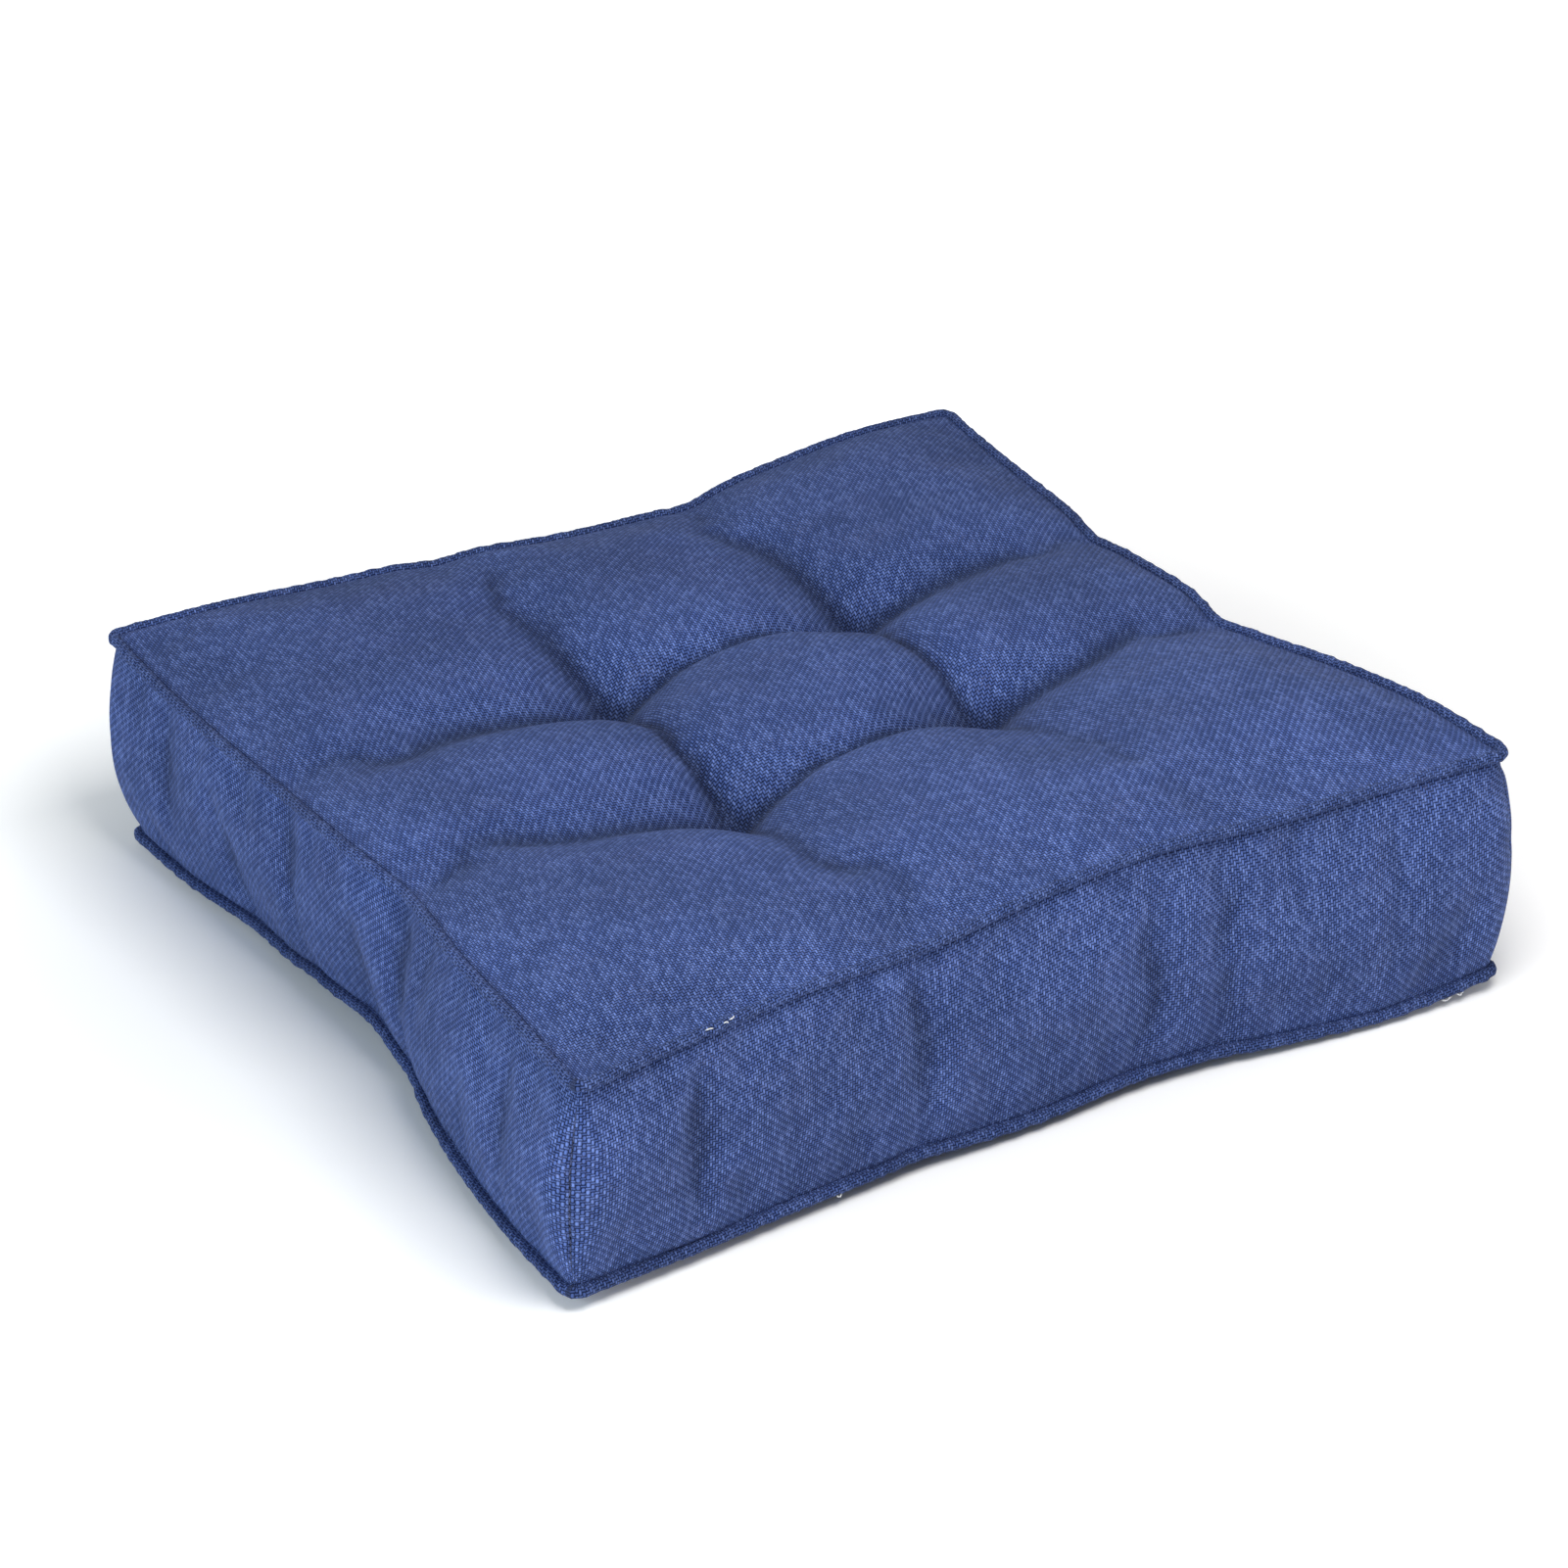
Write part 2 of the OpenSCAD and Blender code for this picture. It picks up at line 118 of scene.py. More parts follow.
warm_lamp = (1, 0.98, 0.96)
cool_daylight = (0.74, 0.9, 1)
plain_white = (1, 1, 1)
add_light("key_light", place=(0, -0.5, 1.0), size=0.6, power=10.3, colour=warm_lamp)
add_light("left_light", place=(-1.7, -0.35, 0.7), size=1.0, power=16, colour=cool_daylight)
add_light("right_light", place=(2.0, -0.8, 1.2), size=1.6, power=3, colour=plain_white)

world = bpy.data.worlds.new("studio")
bpy.context.scene.world = world
world.use_nodes = True
sky = world.node_tree.nodes["Background"]
sky.inputs["Color"].default_value = (0.93, 0.97, 1, 1)
sky.inputs["Strength"].default_value = 0.24
bpy.context.scene.view_settings.view_transform = "Standard"
bpy.context.scene.view_settings.look = "None"
print("lights", sorted(light.name for light in bpy.data.lights))

# %% [markdown]
# The floor is a wide pale sheet just under the cushion. It glows only away from the cushion, like a
# lit backdrop, so that it stays pale as far as the eye reaches and throws little light on the
# cushion's sides.


# %% Floor
def floor_grid(half, count):
    """Points (x, y, 0) on an even square grid, and the quads between neighbours."""
    line = np.linspace(-half, half, count)
    x, y = np.meshgrid(line, line, indexing="ij")
    points = np.stack([x, y, np.zeros_like(x)], -1).reshape(-1, 3)
    return points, grid_quads(count, count)


def grid_quads(rows, columns):
    """Quads of a grid whose point (i, j) has the index i * columns + j, facing i cross j."""
    i, j = np.meshgrid(np.arange(rows - 1), np.arange(columns - 1), indexing="ij")
    a = (i * columns + j).ravel()
    return np.stack([a, a + columns, a + columns + 1, a + 1], -1)


def new_mesh(name, points, quads, material=None, uv=None):
    """A smooth object at the origin with the given points, faces, and a uv pair for each point."""
    mesh = bpy.data.meshes.new(name)
    points = np.asarray(points, np.float32)
    quads = np.asarray(quads, np.int32)
    sides = quads.shape[1]
    mesh.vertices.add(len(points))
    mesh.vertices.foreach_set("co", points.ravel())
    mesh.loops.add(quads.size)
    mesh.loops.foreach_set("vertex_index", quads.ravel())
    mesh.polygons.add(len(quads))
    mesh.polygons.foreach_set("loop_start", np.arange(0, quads.size, sides, dtype=np.int32))
    mesh.polygons.foreach_set("use_smooth", np.full(len(quads), True))
    mesh.update(calc_edges=True)
    mesh.validate()
    if uv is not None:
        layer = mesh.uv_layers.new(name="cloth")
        layer.data.foreach_set("uv", np.asarray(uv, np.float32)[quads.ravel()].ravel())
    made = bpy.data.objects.new(name, mesh)
    bpy.context.scene.collection.objects.link(made)
    if material is not None:
        mesh.materials.append(material)
    return made


def make_floor_material(glow_starts, glow_full, strength):
    """A pale floor whose glow rises smoothly with the distance from the middle of the cushion."""
    material = bpy.data.materials.new("pale_floor")
    material.use_nodes = True
    nodes = material.node_tree.nodes
    links = material.node_tree.links
    shader = nodes["Principled BSDF"]
    shader.inputs["Base Color"].default_value = (0.93, 0.93, 0.93, 1)
    shader.inputs["Roughness"].default_value = 0.9
    shader.inputs["Emission Color"].default_value = (1, 1, 1, 1)
    place = nodes.new("ShaderNodeTexCoord")
    reach = nodes.new("ShaderNodeVectorMath")
    reach.operation = "LENGTH"
    glow = nodes.new("ShaderNodeMapRange")
    glow.interpolation_type = "SMOOTHSTEP"
    glow.inputs["From Min"].default_value = glow_starts
    glow.inputs["From Max"].default_value = glow_full
    glow.inputs["To Max"].default_value = strength
    links.new(place.outputs["Object"], reach.inputs[0])
    links.new(reach.outputs["Value"], glow.inputs["Value"])
    links.new(glow.outputs["Result"], shader.inputs["Emission Strength"])
    return material


floor_half = 6
floor_gap = 0.3 * MM
floor_material = make_floor_material(glow_starts=0.2, glow_full=0.65, strength=0.8)
floor_points, floor_quads = floor_grid(floor_half, 2 * floor_half + 1)
floor = new_mesh("floor", floor_points - (0, 0, floor_gap), floor_quads, floor_material)
print("floor", 2 * floor_half, "m wide,", len(floor_quads), "quads")

# %% [markdown]
# ## Sizes from the frame
#
# The two seams run round the cushion at the heights of their piping cords. The boxes of the CAD
# pieces also say how wide the seams are, how thick the piping is, and where the four ties pull the
# panels together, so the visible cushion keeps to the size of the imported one.

# %% Sizes
SIDES = ["front", "right", "back", "left"]
CORNERS = ["front_left", "front_right", "back_right", "back_left"]
TUFTS = ["front_left", "front_right", "back_left", "back_right"]


def middle_of(node):
    """The middle of a CAD node's box."""
    low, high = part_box(node)
    return (np.array(low) + np.array(high)) / 2


def size_of(node):
    """The size of a CAD node's box."""
    low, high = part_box(node)
    return np.array(high) - np.array(low)


top_z = middle_of("top_piping_cord")[2]
bottom_z = middle_of("bottom_piping_cord")[2]
piping_r = size_of("top_piping_cover")[2] / 2
cord_box = size_of("top_piping_cord")
corner_reach = 1.4 * MM
half_w, half_d = (cord_box[:2] - cord_box[2]) / 2 + corner_reach
ties = {name: middle_of(f"tuft_tie_{name}")[:2] for name in TUFTS}
print("seams at", round(bottom_z, 4), round(top_z, 4), "half width", round(half_w, 4))
print("ties", {name: place.round(4).tolist() for name, place in ties.items()})

# %% [markdown]
# ## The seams
#
# A stuffed box cushion is never a true box, and a rectangle with round corners would look like a
# block of foam. The filling pushes the faces out and so draws the middle of every seam in, which
# leaves the corners standing out as ears. Each side is a curve between two corners. Seven even
# stations say how far it is drawn in and lifted there, and a short notch is added where a crease
# between two lobes runs into the seam.

# %% Seam curves
PER_SIDE = 96
corner_round = 5 * MM
corner_fade = 20 * MM

# How far each side is drawn in and lifted (mm) at its seven inner eighths, in the direction of
# an anticlockwise turn: first the top seam, then the bottom seam
stations = {
    "front": (
        ((7, 12, 16, 16.5, 16.5, 13, 7), (0.5, 1, -3, 1.5, 2.5, -2, -1)),
        ((4, 9, 12, 12, 15, 8, 1), (-1, -1, -1, -2, -1, -2.5, -3.5)),
    ),
    "right": (
        ((2, 9, 16, 15, 15.5, 12, 6), (1, -1, -5.5, -4, -3.5, -1, -1)),
        ((4, 9, 13, 12, 13, 9, 4), (-1, 0, 1, 0, 1, 0, 0)),
    ),
    "back": (
        ((3, 10, 16, 17, 9, 8, 3), (2.5, 0.5, -4, -3, -1.5, 0, 1)),
        ((4, 9, 13, 13, 12, 9, 4), (0, 0, 1.5, 0, 1, 0, 0)),
    ),
    "left": (
        ((1.5, 3, 6.5, 8.5, 12.5, 6.5, 4), (-5, -5, -5, -3, -3.5, -1.5, -0.5)),
        ((4, 13, 14, 20, 13, 4.5, 0), (0, 0.5, 3.5, 5, 0.5, 0, 0)),
    ),
}

# Where the creases meet a side, as shares of its length, and how deep each notch is there
notches = {
    "front": [(0.37, 1.0), (0.70, 1.0)],
    "right": [(0.42, 2.5), (0.65, 2.0)],
    "back": [(0.35, 2.0), (0.64, 2.0)],
    "left": [(0.38, 1.5), (0.60, 2.0)],
}
notch_width = 0.035

# Small shifts of the corners: right, back and up, for the top seam and for the bottom seam
corner_shift = {
    "front_left": ((0, 0, -6), (-8, -1, 1)),
    "front_right": ((3.5, 0, 8), (2.5, 0, 1)),
    "back_right": ((0, 0, 0), (0, 0, 0)),
    "back_left": ((-1, 1.5, 1.5), (1, 1, -1)),
}
corner_place = {
    "front_left": (-1, -1),
    "front_right": (1, -1),
    "back_right": (1, 1),
    "back_left": (-1, 1),
}


def corner_point(corner, level):
    """A corner of the top seam (level 0) or the bottom seam (level 1) before it is rounded."""
    x, y = corner_place[corner]
    z = (top_z, bottom_z)[level]
    return np.array([x * half_w, y * half_d, z]) + np.array(corner_shift[corner][level]) * MM


def smooth_share(t):
    """0 at 0 and 1 at 1, with level ends: 3t^2 - 2t^3."""
    return t * t * (3 - 2 * t)


def through(values, t):
    """A smooth line through even stations, 0 at both ends: cubic pieces that share their slopes."""
    heights = np.concatenate([[0], values, [0]]).astype(float)
    slopes = np.gradient(heights)
    place = np.clip(t, 0, 1) * (len(heights) - 1)
    k = np.minimum(place.astype(int), len(heights) - 2)
    f = place - k
    rise = smooth_share(f)
    bend = slopes[k] * f * (1 - f) ** 2 - slopes[k + 1] * f * f * (1 - f)
    return heights[k] * (1 - rise) + heights[k + 1] * rise + bend


def seam_side(side, level):
    """PER_SIDE + 1 even points of one side of a seam, from its first corner to its second.

    A point goes along the chord, then inward and up by the stations and by a bell at each notch.
    Each end follows an eighth of a turn of the corner's circle.
    """
    order = SIDES.index(side)
    start = corner_point(CORNERS[order], level)
    stop = corner_point(CORNERS[(order + 1) % 4], level)
    flat = (stop - start) * (1, 1, 0)
    length = np.linalg.norm(flat)
    along = flat / length
    inward = np.array([-along[1], along[0], 0])

    turn = np.linspace(math.pi / 4, math.pi / 2, 40)
    curve_s = corner_round * (1 - np.cos(turn))
    curve_in = corner_round * (1 - np.sin(turn))
    straight = np.linspace(corner_round, length - corner_round, 1200)[1:-1]
    s = np.concatenate([curve_s, straight, (length - curve_s)[::-1]])
    t = s / length
    drawn = np.concatenate([curve_in, np.zeros(len(straight)), curve_in[::-1]])
    inner, up = stations[side][level]
    fade = smooth_share(np.clip(np.minimum(s, length - s) / corner_fade, 0, 1))
    drawn = drawn + through(inner, t) * fade * MM
    lift = start[2] + (stop[2] - start[2]) * smooth_share(t) + through(up, t) * fade * MM
    for place, depth in notches[side]:
        notch = depth * MM * np.exp(-(((t - place) / notch_width) ** 2))
        drawn = drawn + notch
        lift = lift - notch * (0.8, -0.5)[level]
    points = start * (1, 1, 0) + s[:, None] * along + drawn[:, None] * inward
    points[:, 2] = lift
    return resample(points, PER_SIDE + 1)


def resample(points, count):
    """The same line with count points, evenly spaced along it."""
    steps = np.linalg.norm(np.diff(points, axis=0), axis=1)
    run = np.concatenate([[0], np.cumsum(steps)])
    at = np.linspace(0, run[-1], count)
    return np.stack([np.interp(at, run, points[:, axis]) for axis in range(3)], -1)


def seam_sides(level):
    """The four sides of a seam, whose shared corner points are made to agree."""
    sides = [seam_side(side, level) for side in SIDES]
    for order in range(4):
        shared = (sides[order - 1][-1] + sides[order][0]) / 2
        sides[order - 1][-1] = shared
        sides[order][0] = shared
    return sides


def loop_of(sides):
    """The four sides of a seam as one closed line, with no point twice."""
    return np.concatenate([side[:-1] for side in sides])


def round_length(loop):
    """The length of a closed line: the sum of the distances between neighbours."""
    return np.linalg.norm(loop - np.roll(loop, 1, axis=0), axis=1).sum()


def outward_of(loop):
    """Level unit vectors that point out of a closed line that turns anticlockwise."""
    run = np.roll(loop, -1, axis=0) - np.roll(loop, 1, axis=0)
    out = np.stack([run[:, 1], -run[:, 0], np.zeros(len(run))], -1)
    return out / np.linalg.norm(out, axis=1)[:, None]


def sides_of(loop):
    """A closed line of 4 * PER_SIDE points as four sides that share their end points."""
    numbers = PER_SIDE * np.arange(4)[:, None] + np.arange(PER_SIDE + 1)
    return list(loop[numbers % len(loop)])


top_line = loop_of(seam_sides(0))
bottom_line = loop_of(seam_sides(1))
for level, line in (("top", top_line), ("bottom", bottom_line)):
    print(level, "piping is", round(round_length(line), 3), "m round")


def side_values(count, values):
    """A value for each point of a closed line: one at the middle of each side, blended between."""
    at = np.arange(count) / count * 4
    middles = np.array([-0.5, 0.5, 1.5, 2.5, 3.5, 4.5])
    return np.interp(at, middles, [values[3], *values, values[0]])


# The cloth meets in a seam inside the middle of the piping. Where the top seam lies low, the piping
# stands up over it; where it lies high, the piping hangs over the side. All in mm: front, right,
# back, left.
seam_inset = (1.7, 1.7, 1.7, 2.2)
top_lift = (-1.1, -0.3, 0.2, 0.7)
bottom_lift = (1.4, 0.8, 0.8, 0.6)


def cloth_seam(line, lift):
    """The line where the cloth meets: the piping's line moved inward and up, side by side."""
    inset = side_values(len(line), seam_inset)[:, None] * MM
    rise = side_values(len(line), lift)[:, None] * MM
    return sides_of(line - inset * outward_of(line) + rise * (0, 0, 1))


top_seam = cloth_seam(top_line, top_lift)
bottom_seam = cloth_seam(bottom_line, bottom_lift)

# %% [markdown]
# ## The cover before it is stuffed
#
# The cover is one closed net of quads: a large grid on top, one below, and four strips between them
# that share their edge points. A Coons patch fills each large grid: it carries the four seam curves
# inward and lets them cancel at the corners. The top then gets a low dome, pits at the ties and
# creases between them, so that the cloth starts close to where the filling will push it.

# %% Grids
CELLS = PER_SIDE
RISE = 22


def coons(front, right, back, left):
    """A grid between four curves that meet at their ends: two rulings less a bilinear patch."""
    back, left = back[::-1], left[::-1]
    u = np.linspace(0, 1, len(front))[:, None, None]
    v = np.linspace(0, 1, len(left))[None, :, None]
    across = (1 - v) * front[:, None] + v * back[:, None]
    along = (1 - u) * left[None] + u * right[None]
    corners = (
        (1 - u) * (1 - v) * front[0]
        + u * (1 - v) * front[-1]
        + u * v * back[-1]
        + (1 - u) * v * back[0]
    )
    return across + along - corners


def edge_dome(cells, power):
    """A dome over a square grid: 0 on its rim and 1 in the middle, rising steeply from the rim."""
    t = np.abs(np.linspace(-1, 1, cells + 1))
    rise = np.sqrt(1 - t**power)
    return rise[:, None] * rise[None, :]


# The pits of the ties, each a little off the tie's own axis because the filling pushes it aside
pit_shift = {
    "front_left": (0.0, -3.0),
    "front_right": (-2.0, 9.0),
    "back_left": (2.0, -5.0),
    "back_right": (0.0, 3.0),
}
top_pits = {name: ties[name] + np.array(pit_shift[name]) * MM for name in TUFTS}
tie_low, tie_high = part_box("tuft_tie_front_left")
top_pit_z = tie_high[2] - 3 * MM
bottom_pit_z = tie_low[2] + 7 * MM
print("pits at heights", round(bottom_pit_z, 4), round(top_pit_z, 4))


def line_distance(x, y, a, b):
    """Distance from each (x, y) to the segment a-b, and the share of the segment at that place."""
    run = b - a
    t = np.clip(((x - a[0]) * run[0] + (y - a[1]) * run[1]) / (run @ run), 0, 1)
    return np.hypot(x - a[0] - t * run[0], y - a[1] - t * run[1]), t


# Creases: pit to pit, and pit to the notch in the seam
crease_lines = [
    ("front_left", "front_right"),
    ("back_left", "back_right"),
    ("front_left", "back_left"),
    ("front_right", "back_right"),
]
crease_ends = [
    ("front_left", "front", 0), ("front_right", "front", 1),
    ("front_right", "right", 0), ("back_right", "right", 1),
    ("back_right", "back", 0), ("back_left", "back", 1),
    ("back_left", "left", 0), ("front_left", "left", 1),
]

# How deep a crease starts at its pit, and how much of it is left where it meets the seam
crease_at_pit = {"front": 0.5, "right": 0.9, "back": 0.9, "left": 0.9}
crease_at_seam = {"front": 0.0, "right": 0.2, "back": 0.12, "left": 0.18}

# How high the cloth of each lobe starts over the seam (mm): back row, middle row, front row
lobe_rise = [(10, 11, 10), (8, 10, 11), (10, 5, 11)]
underside_rise = [(8, 8, 8), (8, 8, 8), (8, 8, 8)]

# How squarely the lobes rise from the seam, and how close to it the creases reach
dome_power = 2.6
rim_power = 8.0


def seam_place(seam, side, number):
    """The point of a seam where crease number of a side meets it."""
    points = seam[SIDES.index(side)]
    return points[round(notches[side][number][0] * PER_SIDE)]


def crown_over(rises):
    """The height of the lobes all over a panel: a 3 by 3 table (back row first), blended smoothly."""
    place = np.clip(np.linspace(-0.5, 2.5, CELLS + 1), 0, 2)
    k = np.minimum(place.astype(int), 1)
    f = smooth_share(place - k)
    share = np.zeros((CELLS + 1, 3))
    share[np.arange(CELLS + 1), k] = 1 - f
    share[np.arange(CELLS + 1), k + 1] += f
    table = np.array(rises, float)[::-1].T * MM
    return share @ table @ share.T


def valley_shape(away, width, bottom):
    """A valley across a crease: exp(-x / width), whose bottom is rounded over the length bottom."""
    return np.exp(-(np.hypot(away, bottom) - bottom) / width)


def lobes(x, y, seam, pits, crown, pit_depth, crease, pit_width):
    """Heights over the seam: crown * dome, less a valley along each crease and a cusp at each pit.

    A crease from pit to pit is a little over half as deep halfway. One from a pit to the seam gets
    wider, rounder and shallower on its way.
    """
    height = crown * edge_dome(CELLS, dome_power)
    valley = np.zeros_like(x)
    for a, b in crease_lines:
        away, t = line_distance(x, y, pits[a], pits[b])
        depth = 0.55 + 0.45 * (2 * t - 1) ** 2
        shape = valley_shape(away, width=6.5 * MM, bottom=0.8 * MM)
        valley = np.maximum(valley, depth * shape)
    for name, side, number in crease_ends:
        end = seam_place(seam, side, number)[:2]
        away, t = line_distance(x, y, pits[name], end)
        left_over = crease_at_seam[side]
        depth = (1 - t) ** 1.5 * (crease_at_pit[side] - left_over) + left_over
        shape = valley_shape(away, width=(9 + 12 * t) * MM, bottom=(1 + 12 * t) * MM)
        valley = np.maximum(valley, depth * shape)
    rim = np.minimum(edge_dome(CELLS, rim_power) * 1.05, 1)
    height = height - crease * valley * rim
    for place in pits.values():
        away = np.hypot(x - place[0], y - place[1])
        cusp = np.exp(-((away / pit_width) ** 1.15)) * rim
        height = height * (1 - cusp) - pit_depth * cusp
    return height


top_grid = coons(*top_seam)
top_grid[..., 2] += lobes(
    top_grid[..., 0],
    top_grid[..., 1],
    top_seam,
    top_pits,
    crown=crown_over(lobe_rise),
    pit_depth=top_z - top_pit_z,
    crease=20 * MM,
    pit_width=20 * MM,
)
bottom_grid = coons(*bottom_seam)
bottom_grid[..., 2] -= lobes(
    bottom_grid[..., 0],
    bottom_grid[..., 1],
    bottom_seam,
    ties,
    crown=crown_over(underside_rise),
    pit_depth=bottom_pit_z - bottom_z,
    crease=5 * MM,
    pit_width=22 * MM,
)

# How far a side swells (mm) at its corners and between them, and how many cells a corner takes
corner_swell = 9
middle_swell = 5
corner_cells = 12


def side_grid(order):
    """A strip between the seams: point (i, j) is i along the side and j up, swollen by a parabola."""
    low, high = bottom_seam[order], top_seam[order]
    t = np.linspace(0, 1, RISE + 1)[None, :, None]
    grid = (1 - t) * low[:, None] + t * high[:, None]
    along = np.gradient(high, axis=0) * (1, 1, 0)
    along /= np.linalg.norm(along, axis=1)[:, None]
    outward = np.stack([along[:, 1], -along[:, 0], np.zeros(len(along))], -1)
    places = [0, corner_cells, PER_SIDE - corner_cells, PER_SIDE]
    values = [corner_swell, middle_swell, middle_swell, corner_swell]
    swell = np.interp(np.arange(len(high)), places, values)
    return grid + swell[:, None, None] * MM * (4 * t * (1 - t)) * outward[:, None]


side_grids = [side_grid(order) for order in range(4)]
for order in range(4):
    shared = (side_grids[order - 1][-1] + side_grids[order][0]) / 2
    side_grids[order - 1][-1] = shared
    side_grids[order][0] = shared
print("top grid", top_grid.shape, "side grids", side_grids[0].shape)

# %% [markdown]
# The six grids are welded into one net by giving every distinct place one number. The panels are
# cut from the net again after it has been stuffed, so each keeps the list of its own points in the
# net.


# %% Weld
weld_gap = 0.01 * MM


def weld(grids):
    """One list of points for several grids, and for each grid the number of each of its points."""
    flat = np.concatenate([grid.reshape(-1, 3) for grid in grids])
    keys = np.round(flat / weld_gap).astype(np.int64)
    _, first, number = np.unique(keys, axis=0, return_index=True, return_inverse=True)
    number = number.ravel()
    parts, start = [], 0
    for grid in grids:
        count = grid.shape[0] * grid.shape[1]
        parts.append(number[start : start + count].reshape(grid.shape[:2]))
        start += count
    return flat[first], parts


PANELS = ["top", "bottom"] + SIDES
net_points, net_parts = weld([top_grid, bottom_grid] + side_grids)
net_part = dict(zip(PANELS, net_parts))


def panel_quads(panel):
    """A panel's quads in the net's numbering, facing outwards."""
    numbers = net_part[panel].ravel()
    rows, columns = net_part[panel].shape
    quads = numbers[grid_quads(rows, columns)]
    return quads[:, ::-1] if panel == "bottom" else quads


net_quads = np.concatenate([panel_quads(panel) for panel in PANELS])
print("net", len(net_points), "points", len(net_quads), "quads")

# %% [markdown]
# ## Stuffing the cover
#
# The swell could be sculpted by hand, but the folds would then run where a hand puts them. The
# filling pushes evenly on the cloth, so a cloth simulation with pressure and no gravity gives it.
# The seams and the ties are pinned. The panels are cut one to two per cent larger than the frame
# that holds them, which makes them pucker where they are gathered into the seams. No point may move
# further than a cap, thick cloth is ironed smooth away from its creases, and nothing goes below the
# surface that the cushion rests on.


# %% Cloth
most_spare = 0.05


def stuff(points, quads, pinned, spare, frames, pressure, stiffness, bending):
    """Points after a cloth simulation. spare is each point's share of the most spare cloth."""
    net = new_mesh("net", points, quads)
    pins = net.vertex_groups.new(name="pins")
    pins.add([int(n) for n in np.flatnonzero(pinned)], 1.0, "REPLACE")
    ease = net.vertex_groups.new(name="ease")
    for level in range(1, 11):
        chosen = np.flatnonzero(np.round((1 - spare) * 10).astype(int) == level)
        ease.add([int(n) for n in chosen], level / 10, "REPLACE")
    cloth = net.modifiers.new("stuffing", "CLOTH")
    cloth.settings.quality = 6
    cloth.settings.mass = 0.3
    cloth.settings.air_damping = 2.0
    cloth.settings.tension_stiffness = stiffness
    cloth.settings.compression_stiffness = stiffness
    cloth.settings.shear_stiffness = stiffness / 3
    cloth.settings.bending_stiffness = bending
    cloth.settings.tension_damping = 15
    cloth.settings.compression_damping = 15
    cloth.settings.shear_damping = 8
    cloth.settings.use_pressure = True
    cloth.settings.uniform_pressure_force = pressure
    cloth.settings.vertex_group_mass = "pins"
    cloth.settings.shrink_min = -most_spare
    cloth.settings.shrink_max = 0.0
    cloth.settings.vertex_group_shrink = "ease"
    cloth.settings.effector_weights.gravity = 0
    cloth.collision_settings.use_collision = False
    cloth.point_cache.frame_start = 1
    cloth.point_cache.frame_end = frames
    for now in range(1, frames + 1):
        bpy.context.scene.frame_set(now)
    shown = net.evaluated_get(bpy.context.evaluated_depsgraph_get())
    moved = np.empty(len(points) * 3, np.float32)
    shown.data.vertices.foreach_get("co", moved)
    bpy.context.scene.frame_set(1)
    data = net.data
    bpy.data.objects.remove(net)
    bpy.data.meshes.remove(data)
    return moved.reshape(-1, 3).astype(float)


def capped(start, moved, cap):
    """Moves limited to cap: a move d keeps its direction and gets the length cap * tanh(d / cap)."""
    step = moved - start
    far = np.linalg.norm(step, axis=1, keepdims=True)
    unmoved = 1e-9
    share = cap * np.tanh(far / cap) / np.maximum(far, unmoved)
    return start + step * np.where(far > unmoved, share, 1)


def relaxed(points, quads, turns):
    """Points moved turns times to the average of their neighbours."""
    ends = np.concatenate([np.stack([quads[:, k], quads[:, (k + 1) % 4]], -1) for k in range(4)])
    ends = np.concatenate([ends, ends[:, ::-1]])
    count = np.bincount(ends[:, 0], minlength=len(points))[:, None]
    for _ in range(turns):
        total = np.zeros_like(points)
        np.add.at(total, ends[:, 0], points[ends[:, 1]])
        points = total / count
    return points


tie_grip = 4.2 * MM
on_seam = np.zeros(len(net_points), bool)
for panel in ("top", "bottom"):
    numbers = net_part[panel]
    on_seam[np.concatenate([numbers[0], numbers[-1], numbers[:, 0], numbers[:, -1]])] = True
at_tie = np.zeros(len(net_points), bool)
for panel, pits in (("top", top_pits), ("bottom", ties)):
    numbers = net_part[panel].ravel()
    for place in pits.values():
        away = np.hypot(*(net_points[numbers][:, :2] - place).T)
        at_tie[numbers[away < tie_grip]] = True

panel_spare = 0.2
side_spare = 0.4
spare = np.full(len(net_points), panel_spare)
for side in SIDES:
    spare[net_part[side]] = side_spare
spare[on_seam] = 0.0

furthest_move = 26 * MM
stuffed = net_points.copy()
held = on_seam | at_tie
moved = stuff(
    net_points, net_quads, held, spare, frames=30, pressure=2.6, stiffness=15, bending=1.5
)
print("largest move", round(float(np.linalg.norm(moved - net_points, axis=1).max()), 4))
stuffed = capped(net_points, moved, furthest_move)

# %% Ironing
# Thick cloth irons out small crumples, but not the creases that the ties hold
ironing_most = 0.9
ironing_sides = 0.2
crease_kept = 9 * MM
crease_far = np.full(len(net_points), 1.0)
for panel, seam, pits in (("top", top_seam, top_pits), ("bottom", bottom_seam, ties)):
    numbers = net_part[panel].ravel()
    flat = net_points[numbers][:, :2].T
    ends = [(pits[a], pits[b]) for a, b in crease_lines]
    for name, side, number in crease_ends:
        ends.append((pits[name], seam_place(seam, side, number)[:2]))
    crease_far[numbers] = np.min([line_distance(*flat, a, b)[0] for a, b in ends], axis=0)
ironing = ironing_most * (1 - np.exp(-((crease_far / crease_kept) ** 2)))
for side in SIDES:
    ironing[net_part[side]] = ironing_sides
ironing[on_seam | at_tie] = 0
for _ in range(2):
    stuffed += ironing[:, None] * (relaxed(stuffed, net_quads, 1) - stuffed)

